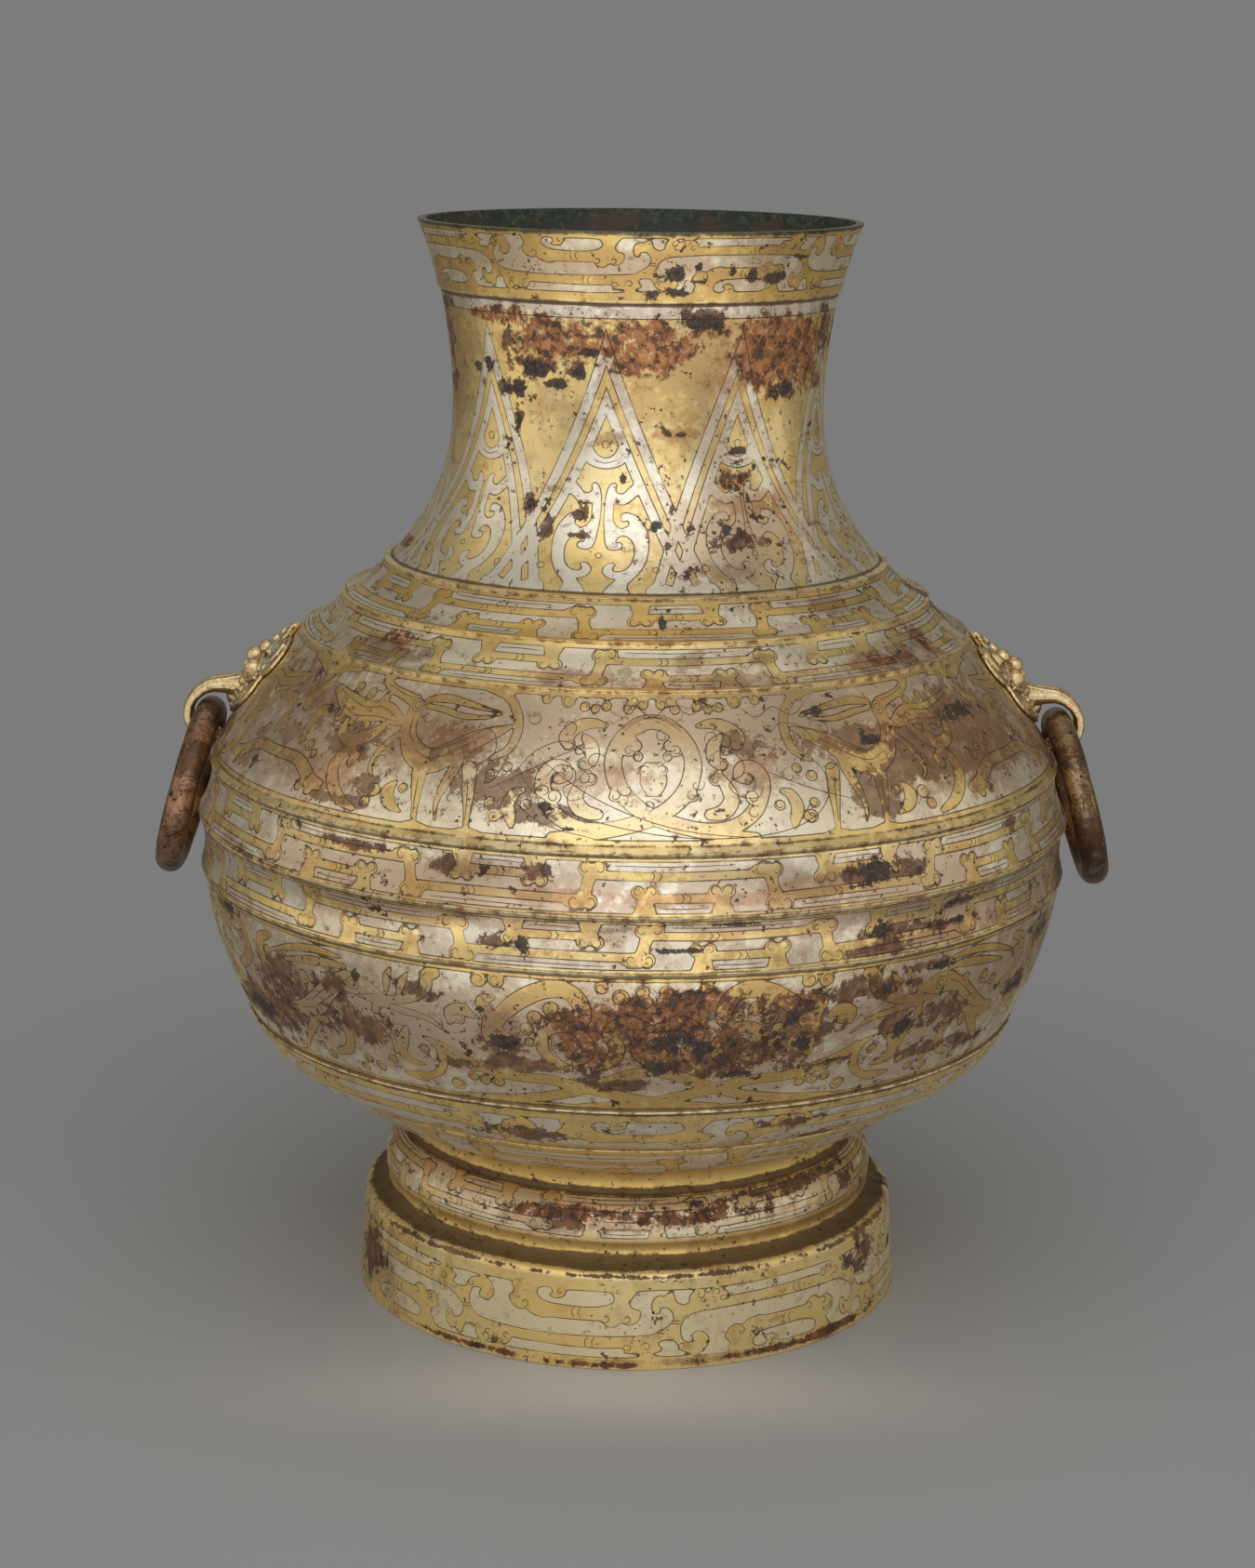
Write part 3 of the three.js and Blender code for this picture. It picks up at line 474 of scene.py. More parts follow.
# Engraved ribbons and clouds between the figures that aren't the same to both sides
def interlaced(m):
    for curl in (
        (-22, 33, 4.2, 20, 1), (-40, 20, 3.4, 200, -1), (-54, 14, 3.2, 60, 1), (-62, 24, 3.6, 120, -1),
        (-34, 47, 3.8, -60, 1), (-48, 50, 3.2, 200, 1), (-26, 26, 3.0, 90, -1), (24, 43, 3.4, 200, -1),
        (42, 38, 3.8, 0, 1), (52, 26, 3.4, 90, 1), (36, 12, 3.0, 60, 1), (58, 12, 3.2, -60, -1),
        (70, 30, 3.4, 200, 1), (16, 24, 3.0, 30, -1), (-10, 22, 3.2, 160, 1), (4, 44, 3.0, 90, 1),
        (-2, 16, 2.6, -90, 1), (72, 44, 3.2, 100, -1), (-74, 14, 3.0, 0, 1), (84, 22, 3.2, 180, -1),
        (-86, 30, 3.4, 90, 1), (-96, 46, 3.2, 0, -1), (96, 42, 3.2, 60, 1), (112, 26, 3.4, 200, -1),
        (-110, 24, 3.6, 30, 1),
    ):
        m.curl(*curl)
    for run in (
        [(-52, 27), (-46, 36), (-36, 41), (-28, 38), (-25, 33)],
        [(-50, 27), (-44, 20), (-32, 13), (-16, 8), (4, 4), (24, 2.6), (44, 4), (58, 9), (66, 18), (66, 28),
         (60, 34)],
        [(-58, 22), (-40, 8), (-20, 2.4)],
        [(-44, 34), (-36, 28), (-24, 20), (-8, 12), (10, 6), (30, 3), (46, 2.4)],
        [(-60, 20), (-34, 36), (-22, 39)],
        [(44, 28), (60, 20), (76, 14)],
        [(-40, 26), (-36, 31), (-30, 30), (-29, 25), (-33, 22), (-30, 17), (-24, 19)],
        [(20, 34), (27, 38), (34, 34), (34, 28), (28, 24), (31, 19), (38, 18), (41, 23)],
        [(48, 44), (54, 48), (62, 46), (66, 40), (62, 35)],
        [(-72, 46), (-64, 42), (-62, 34), (-68, 29), (-73, 32)],
        [(-20, 56), (-12, 52), (-8, 57), (0, 52), (8, 57), (16, 53), (24, 57), (32, 54)],
        [(38, 55), (44, 51), (52, 55), (60, 51), (68, 56)],
    ):
        m.line(*run)


# A second bird with its long tail raised, between looped ribbons, on the lower belly
def bird_below(width, height):
    m = Motif(width, height, "silver")
    for run in (
        [(56, 35, 1.6), (53, 42, 3.0), (46.5, 48.6, 3.5), (38, 53.4, 3.5), (30, 53.6, 3.3), (25.4, 49, 3.2),
         (24.4, 42.6, 2.8), (27.5, 38.6, 1.8)],
        [(27.6, 22.5, 1.4), (23.8, 26, 2.3), (22.8, 31, 2.5), (26.4, 36.6, 2.4), (33, 38.6, 2.4),
         (38.6, 35, 2.4), (39, 28.4, 2.4), (35.6, 23.4, 1.8), (30, 20, 1.6)],
        [(20, 20.4, 1.0), (15, 24, 2.6), (12.6, 30, 2.9), (15, 37, 2.9), (9, 41.6, 2.8), (2, 39, 2.2)],
        [(0, 24, 3.2), (-5, 28, 2.6), (-7, 33, 1.0)],
        [(78.6, 26, 1.0), (73, 21, 2.5), (62, 16.8, 2.6), (50, 14.4, 2.4), (38, 14, 2.4), (29, 12, 2.5),
         (17, 8.8, 2.6), (5, 5.6, 2.5), (-9, 3, 2.1), (-26, 1.6, 1.2)],
        [(72, 1.6, 1.4), (58, 2.4, 2.0), (46, 4.2, 2.3), (34, 7, 2.4), (22, 11.6, 2.4), (9, 17.6, 2.5),
         (0, 20, 2.2)],
        [(56.4, 48.8, 1.2), (60, 46.4, 2.6), (58, 40, 2.5), (58.6, 33, 2.8), (55, 28, 3.0), (51, 30.6, 2.2),
         (53.4, 35, 1.0)],
        [(73, 36.4, 1.4), (72.6, 40.4, 2.4), (68, 42.2, 2.6), (64, 40, 1.2)],
        [(100, 41, 1.8), (92.4, 42, 1.7), (86, 45, 2.0), (81.4, 49.4, 2.3), (80.6, 54, 2.7), (77, 55.6, 1.8)],
        [(93, 44, 0.9), (91, 49.6, 1.6), (88, 54.4, 0.3)],
        [(98, 45, 0.9), (97, 50.6, 1.7), (95, 55.2, 0.3)],
        [(101, 38.6, 1.2), (92, 37.6, 1.5), (82, 36, 1.2), (74, 30.6, 0.4)],
        [(102, 41, 3.4), (108, 43.6, 4.6), (115, 45, 4.6), (121, 43, 3.6), (128, 37.6, 4.2), (135, 31, 4.8),
         (143, 26.6, 4.0), (150, 25.6, 2.4)],
        [(116, 51, 1.0), (126, 50.6, 1.8), (137, 49, 1.7), (150, 46.4, 0.7)],
        [(118, 54.6, 0.8), (130, 55, 1.6), (144, 52.6, 1.5), (158, 48, 0.6)],
        [(103, 38.4, 1.8), (104.4, 34.4, 1.7), (101, 29, 1.7), (98.6, 23, 1.6), (99.4, 17, 0.7)],
        [(92, 30, 1.2), (94, 25, 2.4), (96.6, 19, 2.8), (93, 14.8, 1.9), (87.6, 14, 0.6)],
        [(85, 27.4, 0.7), (80.4, 25, 1.6), (78.6, 19, 1.9), (80.4, 13, 1.8), (85, 9.2, 1.6), (91, 7.6, 2.3),
         (98, 8, 0.6)],
        [(138, 24, 2.6), (144, 17, 2.1), (150.6, 9, 1.2), (155, 3, 0.9)],
        [(148.6, 1.4, 0.6), (155, 2.4, 1.1), (161, 1.4, 0.6)],
        [(124, 28, 1.8), (121, 20.6, 2.4), (124, 13, 2.2), (131, 9.6, 1.6)],
        [(152, 33, 1.2), (160, 36, 2.6), (166, 43, 2.8), (165, 51, 2.4), (158, 54, 1.6)],
        [(159, 13, 1.2), (166, 19, 2.6), (176, 24, 2.6)],
    ):
        m.stroke(*run)
    for lobe in (
        (29.4, 43, 2.3, 200, 1), (35.4, 46, 2.9, 100, 1), (41.4, 42, 2.7, 120, 1), (44.4, 36.8, 2.6, 90, 1),
        (43.6, 31, 2.0, 60, 1), (4.6, 36, 2.6, 60), (6.6, 30, 2.2, 200), (57.6, 10.8, 2.5, 200),
        (62.8, 11, 2.3, 270), (67.6, 12, 2.2, 200), (74.4, 7, 3.0, 0), (14, 14.6, 2.2, 100),
        (18, 55.4, 2.4, -120), (11.4, 51.8, 3.0, -60), (4, 54, 2.5, -90), (54.6, 56, 3.1, -140),
        (61, 55.4, 2.9, -40), (-3, 50, 2.6, -60), (57.4, 26, 2.6, 100), (69.4, 38, 2.3, 20),
        (101.6, 13.4, 2.3, 60), (85.6, 21.6, 2.2, 60), (119.4, 36, 2.6, 120), (127, 44, 2.3, 60),
        (139, 41.6, 3.0, 30), (146, 38.6, 2.4, -30), (133, 23.6, 2.4, 200), (109, 8.4, 2.6, 200),
        (114.6, 10.6, 2.2, 120), (118, 6, 2.2, 270), (136, 6.6, 2.5, 60), (140.6, 10, 2.0, 0),
        (160.6, 47, 2.4, 60),
    ):
        m.head(*lobe)
    for eye in ((31.6, 30.2, 1.9), (113, 45, 2.7), (113, 45, 1.4)):
        m.ring(*eye)
    for run in (
        [(31.6, 36.6), (28, 34.4), (27, 30), (29.4, 25.4), (31.6, 23.6), (33.8, 25.4), (36, 30), (35, 34.4),
         (31.6, 36.6)],
        [(104, 42.6), (112, 40.4), (120, 40), (128, 35), (136, 29.4), (145, 26.8)],
        [(118, 45.4), (124, 42.4), (131, 37), (138, 31.6)],
        [(84, 48), (83, 52.6), (80.6, 55.6)],
        [(102, 37.6), (102.6, 34), (99.4, 28.4), (97.4, 22)],
    ):
        m.line(*run)
    return finished(m, width, height)


# Both birds are drawn as one half, on a field of this girth and height
DRAWN_GIRTH, DRAWN_HEIGHT = 343.6, 60


def finished(half, width, height):
    half.mirror()
    m = Motif(width, height, half.ground)
    m.take(half, 0, width / DRAWN_GIRTH, height / DRAWN_HEIGHT)
    return m


# Hooked silver scrolls that fill the neck's triangles, with a drop above them
def neck_scrolls(width, height):
    m = Motif(width, height, "gold")
    for shape in (
        [(9.7, 44.3), (8.3, 42.7), (6.9, 42.2), (5.4, 42.7), (4.5, 43.9), (5.1, 44.8), (4.9, 45.9),
         (3.8, 46.4), (2.4, 45.6), (1.3, 43.4), (0.8, 40.2), (0.7, 35), (0.8, 31), (1.3, 26.5), (1.7, 23.4),
         (2.6, 20.6), (3.8, 19.7), (5.6, 19.5), (7.4, 20), (8.3, 20.9), (8.1, 22.2), (6.9, 22.9), (5.8, 22.5),
         (5.9, 23.8), (6.7, 25), (8.1, 25.4), (9.7, 25.2), (11.3, 23.8), (12.4, 21.5), (12.6, 18.8),
         (12.2, 16), (11, 12.9), (9.2, 11.1), (7.4, 10.4), (5.8, 10.5), (5.1, 11.5), (5.8, 12.5), (6.1, 13.3),
         (5.5, 13.9), (4.2, 14), (2.9, 13.1), (1.9, 11.5), (2.2, 9.7), (3.3, 8.1), (5.1, 7.2), (6.5, 7.1),
         (5.6, 5.6), (3.8, 2.9), (2.8, -1), (10.9, -1), (10.4, 4.3), (11, 5.6), (12.9, 7.9), (14.7, 10.6),
         (16.5, 14.3), (17.4, 18.4), (17.8, 22.9), (17.4, 26.5), (16.5, 29.3), (14.7, 32), (12.9, 33.8),
         (10.6, 34.7), (8.3, 34.8), (7.4, 33.8), (7.2, 32.5), (7.6, 31.4), (8.5, 31.2), (9.6, 31.7),
         (10.3, 31), (10.2, 29.7), (9, 29), (7.8, 28.4), (6.5, 29), (5.1, 30.2), (4.2, 32.5), (4.2, 35.6),
         (4.3, 38.3), (5.1, 38.3), (7.4, 37.9), (9.7, 38.6), (11.7, 40.2), (15, 43.6), (13.5, 47)],
        [(16.6, -1), (16.4, 2.4), (18, 4.8), (20.8, 5.4), (24, 4.4), (27.6, 2.2), (29, -1)],
    ):
        m.area(*shape)
    m.mirror()
    m.area(
        (-6, 61), (-3.6, 57.4), (0, 56), (3.6, 57.4), (6, 61), (9, 56), (6, 53), (0, 51.8), (-6, 53),
        (-9, 56),
    )
    for eye in ((0, 61.2, 1.5), (0, 17, 1.1), (19.9, 11.2, 1.2), (-19.9, 11.6, 1.4)):
        m.ring(*eye)
    m.line((-5, 55.4), (0, 54), (5, 55.4))
    return m


TAPERED = ("neck_flare", "neck_rise")
NECK_COUNT, NECK_TURN = 9, math.radians(-9.4)
ARRANGED = {
    "plinth": (4, math.radians(-12), boats),
    "swell": (5, 0.3, cloud_band),
    "bowl": (5, 0.15, cloud_band),
    "low_band": (5, 0.0, boats),
    "belt_low": (8, math.radians(-20.9), cloud_band),
    "belt_top": (8, math.radians(-27.8), cloud_band),
    "shoulder_low": (6, math.radians(-36), cloud_band),
    "shoulder_top": (5, math.radians(-10), cloud_band),
    "collar": (4, math.radians(-19), boats),
    "upper_belly": (3, math.radians(2.6), bird_above),
    "lower_belly": (3, math.radians(2.8), bird_below),
}
MOTIFS = {}
for name, (count, turn, draw) in ARRANGED.items():
    MOTIFS[name] = (count, turn, draw(TAU * RADIUS[name] / count, LENGTH[name]))
neck_length = LENGTH["neck_flare"]
# The neck's drawing is laid out at this radius, its triangles narrow towards the top
NECK_GIRTH_RADIUS = 81.3
NECK_WIDTH = TAU * NECK_GIRTH_RADIUS / NECK_COUNT
NECK_MOTIF = neck_scrolls(NECK_WIDTH, neck_length + LENGTH["neck_rise"])
# Height of the triangles, their slope and how it grows downwards, and widths of the two borders and the gap
TRIANGLE = {"tall": 106.0, "slope": 0.30, "spread": 0.0015, "outer": 4.1, "gap": 2.8, "inner": 3.8}
# Silver stripe under the collar, and the gold left between a triangle's scrolls and its border
NECK_STRIPE, SCROLL_GAP = 5.6, 3
# Gold borders above and below each band, as a share of a low band and in millimetres on a tall one
BORDER_SHARE, BORDER, LOW = 0.086, 2.2, 30
# Stretches without a motif are gold all over
ALL_GOLD = -6.0


# Double silver borders run up to each triangle's point; neighbours cross at the foot
def triangles(across, up, radius):
    below = TRIANGLE["tall"] - up
    half = below * (TRIANGLE["slope"] + TRIANGLE["spread"] * below)
    lean = math.cos(math.atan(TRIANGLE["slope"] + TRIANGLE["spread"] * TRIANGLE["tall"]))
    edges = []
    for side in (-1, 0, 1):
        from_axis = np.abs(across - side) * TAU * radius / NECK_COUNT
        inside = (half - from_axis) * lean
        outer = np.abs(inside - TRIANGLE["outer"] / 2) - TRIANGLE["outer"] / 2
        second = TRIANGLE["outer"] + TRIANGLE["gap"] + TRIANGLE["inner"] / 2
        edges += [outer, np.abs(inside - second) - TRIANGLE["inner"] / 2]
        if side == 0:
            within = inside - second
    return np.min(edges, axis=0), within


def figure_of(name, angle, along, radius):
    """Signed distance in millimetres from the gold's edge: negative in gold, positive in silver."""
    if name in TAPERED:
        up = along if name == "neck_flare" else along + neck_length
        across = ((angle - NECK_TURN) * NECK_COUNT / TAU + 0.5) % 1 - 0.5
        borders, within = triangles(across, up, radius)
        scrolls = np.maximum(NECK_MOTIF.distance(across * NECK_WIDTH, up), -within - SCROLL_GAP)
        stripe = up - (neck_length + LENGTH["neck_rise"] - NECK_STRIPE)
        return np.maximum(-np.minimum(borders, scrolls), stripe)
    if name not in MOTIFS:
        return np.full(angle.shape, ALL_GOLD)
    count, turn, motif = MOTIFS[name]
    x = ((angle - turn) * count / TAU + 0.5) % 1 * motif.width - motif.width / 2
    return motif.gilding(x, along, BORDER_SHARE * motif.length if motif.length < LOW else BORDER)


# Corrosion as (angle in degrees, height, half angle, half height), placed as the photograph shows it
RUST = [
    (-36, 2.2, 16, 1.6), (46, 3.0, 26, 2.0), (-4, 1.6, 12, 1.0), (-16, 60, 12, 3.0), (20, 61, 10, 2.6),
    (5, 405, 13, 11), (-22, 408, 18, 9), (36, 408, 8, 10), (45, 393, 13, 8), (57, 404, 13, 14),
    (-45, 416, 14, 3), (28, 354, 6, 4), (-47, 293, 4, 3), (50, 287, 6, 2), (62, 291, 3, 5), (4, 162, 9, 14),
    (8, 173, 7, 6), (-6, 166, 3, 5), (-5, 152, 4, 8), (13, 150, 5, 8), (21, 172, 3, 5), (34, 172, 6, 3),
    (35, 3, 12, 1), (-8, 61, 12, 2), (16, 58, 16, 2),
]
# Faint reddish stain through which the metal still shows
STAIN = [
    (-8, 370, 7, 4), (11, 372, 6, 3), (32, 344, 10, 6), (21, 320, 11, 5), (-48, 288, 14, 4), (-9, 287, 10, 3),
    (10, 293, 4, 4), (23, 292, 3, 2), (50, 287, 10, 4), (62, 291, 4, 6), (45, 306, 6, 4), (16, 286, 14, 2),
    (8, 213, 14, 3), (-20, 221, 7, 4), (24, 216, 6, 5), (-10, 214, 6, 3), (2, 160, 15, 20), (38, 163, 6, 10),
    (-16, 160, 4, 8), (0, 58, 34, 5), (-18, 55, 8, 3), (20, 3, 34, 2), (50, 252, 18, 12), (-46, 246, 12, 8),
    (15, 257, 6, 7), (-6, 254, 8, 6), (-20, 408, 24, 12), (40, 400, 24, 18), (-28, 262, 12, 10),
    (40, 190, 16, 5),
]
BROWN = [
    (-42, 38.6, 26, 1.3), (8, 38.4, 22, 1.1), (58, 38.6, 24, 1.5), (44, 64.5, 20, 1.8), (18, 416, 8, 4),
    (-31, 397, 12, 5), (-41, 388, 8, 3), (-18, 397, 6, 4), (-23, 408, 4, 2), (-41, 405, 3, 9),
    (-38, 376, 2, 8), (50, 386, 8, 5), (68, 389, 5, 3), (70, 411, 9, 8), (-76, 404, 7, 12), (-76, 386, 8, 4),
    (28, 330, 10, 4), (-15, 342, 3, 4), (-24, 335, 2, 5), (-31, 344, 2, 4), (-15, 333, 3, 2),
    (-60, 273, 4, 6), (-52, 269, 5, 6), (-43, 259, 5, 7), (-57, 255, 3, 4), (-64, 244, 2, 5),
    (-37, 246, 3, 4), (-40, 238, 6, 2), (-18, 250, 6, 7), (-12, 242, 4, 3), (-27, 262, 4, 6), (30, 263, 9, 4),
    (38, 253, 4, 5), (33, 246, 3, 8), (47, 263, 9, 8), (58, 267, 9, 8), (64, 256, 6, 7), (49, 250, 7, 4),
    (60, 247, 5, 4), (14, 266, 3, 4), (31, 218, 5, 5), (37, 217, 3, 4), (33, 195, 4, 6), (41, 193, 6, 2),
    (45, 201, 4, 2), (-16, 195, 2, 4), (-12, 222, 2, 4), (-23, 222, 2, 3), (-36, 223, 6, 2),
    (-52, 208, 10, 1), (57, 223, 2, 4), (30, 188, 4, 2), (-57, 146, 9, 7), (-63, 139, 9, 6), (-64, 180, 4, 3),
    (-52, 162, 6, 8), (-36, 151, 6, 7), (-16, 153, 3, 5), (-11, 145, 6, 3), (-20, 143, 5, 3), (-3, 138, 5, 3),
    (9, 150, 6, 9), (22, 157, 4, 9), (20, 168, 3, 5), (29, 174, 4, 6), (40, 178, 5, 2), (26, 143, 4, 3),
    (36, 155, 3, 7), (46, 157, 5, 9), (53, 136, 4, 2), (62, 154, 4, 5), (68, 174, 4, 7), (-27, 171, 3, 5),
    (-40, 165, 3, 8), (43, 140, 8, 3), (-14, 56, 6, 2), (5, 63, 4, 1), (17, 63, 4, 1), (63, 58, 5, 4),
    (40, 62, 5, 1), (-15, 112, 8, 4), (-38, 104, 5, 3), (30, 105, 5, 3), (24, 116, 5, 3), (-28, 7, 3, 2),
    (60, 30, 7, 9), (-70, 20, 8, 14),
]
BLACK = [
    (9, 434, 3, 4), (3, 426, 2, 2), (10, 427, 3, 2), (16, 431, 3, 1), (30, 433, 2, 3), (38, 432, 4, 3),
    (45, 440, 6, 1), (25, 435, 1, 2), (15, 437, 1, 2), (-31, 395, 6, 4), (-42, 387, 3, 2), (-38, 386, 3, 3),
    (-50, 396, 2, 3), (-56, 394, 2, 3), (-17, 395, 2, 3), (-14, 403, 3, 2), (-25, 390, 4, 2), (17, 415, 5, 3),
    (48, 388, 4, 3), (31, 365, 3, 2), (13, 372, 2, 1), (64, 372, 2, 1), (-31, 344, 1, 3), (-4, 355, 1, 3),
    (5, 337, 2, 2), (24, 336, 2, 2), (-26, 342, 1, 2), (-38, 374, 1, 5), (40, 361, 1, 1), (45, 342, 1, 1),
    (36, 358, 1, 2), (5, 304, 1, 3), (45, 297, 3, 1), (-60, 274, 1, 3), (-62, 241, 1, 3), (-51, 266, 1, 2),
    (28, 274, 1, 2), (36, 263, 2, 2), (-11, 244, 1, 3), (-8, 238, 1, 1), (56, 266, 5, 3), (31, 219, 3, 4),
    (28, 214, 2, 1), (32, 196, 2, 4), (12, 204, 3, 1), (6, 194, 4, 1), (43, 194, 4, 1), (45, 201, 3, 1),
    (-13, 194, 1, 3), (-61, 141, 6, 5), (-64, 180, 2, 2), (5, 158, 3, 5), (9, 154, 2, 4), (3, 146, 2, 4),
    (14, 142, 2, 2), (20, 165, 1, 5), (22, 154, 2, 4), (7, 178, 2, 1), (42, 177, 4, 2), (-36, 172, 1, 3),
    (53, 136, 1, 1), (57, 137, 2, 1), (27, 144, 2, 1), (16, 64, 3, 1), (28, 65, 2, 1), (58, 32, 1, 2),
    (-16, 154, 2, 4), (37, 154, 2, 5), (62, 153, 3, 2),
]
# Thin brown film that darkens whole areas; some patches, as on the middle of the collar, the top of the upper
# belly and the right of the foot, are painted shade that tones down over-bright light
HAZE_AND_SHADE = [
    (-10, 273, 26, 8), (30, 270, 20, 12), (58, 262, 22, 22), (-48, 262, 22, 22), (20, 400, 60, 22),
    (-75, 400, 14, 30), (30, 335, 22, 14), (-20, 214, 40, 10), (36, 204, 26, 18), (10, 158, 30, 26),
    (-45, 155, 26, 26), (50, 160, 22, 24), (0, 64.5, 90, 4), (180, 64.5, 90, 4), (70, 46, 40, 4),
    (180, 46, 70, 4), (-70, 20, 14, 18), (4, 272, 40, 9), (-24, 206, 26, 8), (4, 436, 40, 9),
    (72, 54, 24, 10),
]
# Painted highlights: pale patches where a highlight washes the figures out, so that gold and silver hardly
# differ
PAINTED_HIGHLIGHTS = [(-2, 256, 24, 17), (178, 256, 24, 17), (0, 58, 60, 7), (24, 330, 12, 16), (-34, 160, 22, 14)]
# The back and far sides, which the photograph doesn't show
ELSEWHERE = np.random.default_rng(5)
FAR_ANGLES, FAR_HEIGHTS = (78, 282), (16, 436)


def scattered(count, sizes):
    made = []
    for _ in range(count):
        place = ELSEWHERE.uniform(*FAR_ANGLES), ELSEWHERE.uniform(*FAR_HEIGHTS)
        made.append((*place, ELSEWHERE.uniform(*sizes[0]), ELSEWHERE.uniform(*sizes[1])))
    return made


RUST += scattered(22, ((3, 12), (2, 9)))
STAIN += scattered(30, ((4, 18), (3, 14)))
BROWN += scattered(70, ((2, 9), (2, 9)))
BLACK += scattered(62, ((1, 5), (1, 4)))
HAZE_AND_SHADE += scattered(16, ((12, 34), (8, 24)))
# Dark lines all round in the hollows and under the ridges, dirt with painted shade, as (height, half height)
DIRT_AND_SHADE_LINES = [
    (42.6, 2.4), (68.4, 1.9), (41.2, 1.0), (124.6, 1.0), (184.6, 1.5), (206.4, 1.5), (229.3, 1.1),
    (311.6, 0.8),
]
# How far each stretch's silver has tarnished from cream to grey
TARNISH = {
    "plinth": 0.05, "swell": 0.25, "bowl": 0.6, "low_band": 0.7, "lower_belly": 0.45, "belt_low": 0.75,
    "belt_top": 0.35, "upper_belly": 0.15, "shoulder_low": 0.35, "shoulder_top": 0.6, "neck_flare": 0.35,
    "neck_rise": 0.4, "collar": 0.45,
}
# How far gilding has rubbed over the silver
OVERLAID = {
    "plinth": 0.85, "swell": 0.85, "bowl": 0.45, "low_band": 0.35, "lower_belly": 0.55, "belt_low": 0.3,
    "belt_top": 0.2, "upper_belly": 0.42, "shoulder_low": 0.5, "shoulder_top": 0.4, "neck_flare": 0.2,
    "neck_rise": 0.1, "collar": 0.6,
}
# How deep the gold's colour is
WARMTH = {
    "plinth": 0.45, "cavetto": 0.8, "swell": 0.85, "foot_neck": 0.9, "bowl": 0.7, "low_band": 0.6,
    "lower_belly": 0.75, "belt_low": 0.2, "belt_top": 0.0, "upper_belly": 0.45, "shoulder_low": 0.4,
    "shoulder_top": 0.85, "neck_flare": 0.3, "neck_rise": 0.35, "collar": 0.9,
}


# Each spot fades over a little more than its half sizes, and never covers quite all
SPREAD, COVER = 1.15, 0.95


def blotches(spots, angle, height):
    clear = np.ones(angle.shape)
    for at, up, wide, tall in spots:
        turn = (angle - math.radians(at) + math.pi) % TAU - math.pi
        near = np.exp(-((turn / math.radians(wide * SPREAD)) ** 2) - ((height - up) / (tall * SPREAD)) ** 2)
        clear *= 1 - COVER * near
    return 1 - clear


def dirt_and_shade(height):
    return np.max([np.exp(-(((height - up) / tall) ** 2)) for up, tall in DIRT_AND_SHADE_LINES], axis=0)


# Meshes
def mesh_of(name, points, faces):
    mesh = bpy.data.meshes.new(name)
    mesh.vertices.add(len(points))
    mesh.vertices.foreach_set("co", (np.asarray(points) * MM).astype(np.float32).ravel())
    faces = np.asarray(faces, np.int32)
    mesh.loops.add(faces.size)
    mesh.loops.foreach_set("vertex_index", faces.ravel())
    mesh.polygons.add(len(faces))
    mesh.polygons.foreach_set("loop_start", np.arange(len(faces), dtype=np.int32) * faces.shape[1])
    mesh.polygons.foreach_set("use_smooth", np.full(len(faces), True))
    mesh.update(calc_edges=True)
    mesh.validate()
    thing = bpy.data.objects.new(name, mesh)
    bpy.context.scene.collection.objects.link(thing)
    return thing


def give(mesh, name, values):
    layer = mesh.attributes.new(name, "FLOAT", "POINT")
    layer.data.foreach_set("value", np.asarray(values, np.float32).ravel())


def unwrap(mesh, u, v):
    layer = mesh.uv_layers.new(name="OFBake")
    layer.data.foreach_set("uv", np.stack([u.ravel(), v.ravel()], 1).astype(np.float32).ravel())


# All skins share one scale of unwrapping: this many millimetres fill the height of the map
UNWRAPPED = 1200


# Turns rows of (radius, height) about the axis. Angle 0 faces the viewer and grows towards +X.
def turned(name, radius, height, columns):
    count = len(height)
    angle = np.arange(columns) * TAU / columns
    level = np.repeat(height[:, None], columns, 1)
    points = np.stack([radius * np.sin(angle), -radius * np.cos(angle), level], 2)
    i, j = np.meshgrid(np.arange(count - 1), np.arange(columns), indexing="ij")
    k = (j + 1) % columns
    faces = np.stack([i * columns + j, i * columns + k, (i + 1) * columns + k, (i + 1) * columns + j], 2)
    thing = mesh_of(name, points.reshape(-1, 3), faces.reshape(-1, 4))
    run = np.r_[0, np.cumsum(np.hypot(np.diff(radius[:, 0]), np.diff(height)))] / UNWRAPPED
    u = np.stack([j, j + 1, j + 1, j], 2) / columns
    v = np.stack([run[i], run[i], run[i + 1], run[i + 1]], 2)
    unwrap(thing.data, u, v)
    return thing


# Skins of the outside, as (name, first stretch, last stretch, columns); the columns suit the band's repeats
SKINS = [
    ("skin_foot", "plinth", "foot_neck", 660),
    ("skin_bowl", "bowl", "low_bead", 800),
    ("skin_lower_belly", "lower_belly", "lower_belly", 999),
    ("skin_belt", "belt_foot", "belly_foot", 992),
    ("skin_upper_belly", "upper_belly", "upper_belly", 921),
    ("skin_shoulder", "shoulder_foot", "neck_step", 750),
    ("skin_neck", "neck_flare", "neck_rise", 576),
    ("skin_collar", "collar_step", "lip", 560),
]


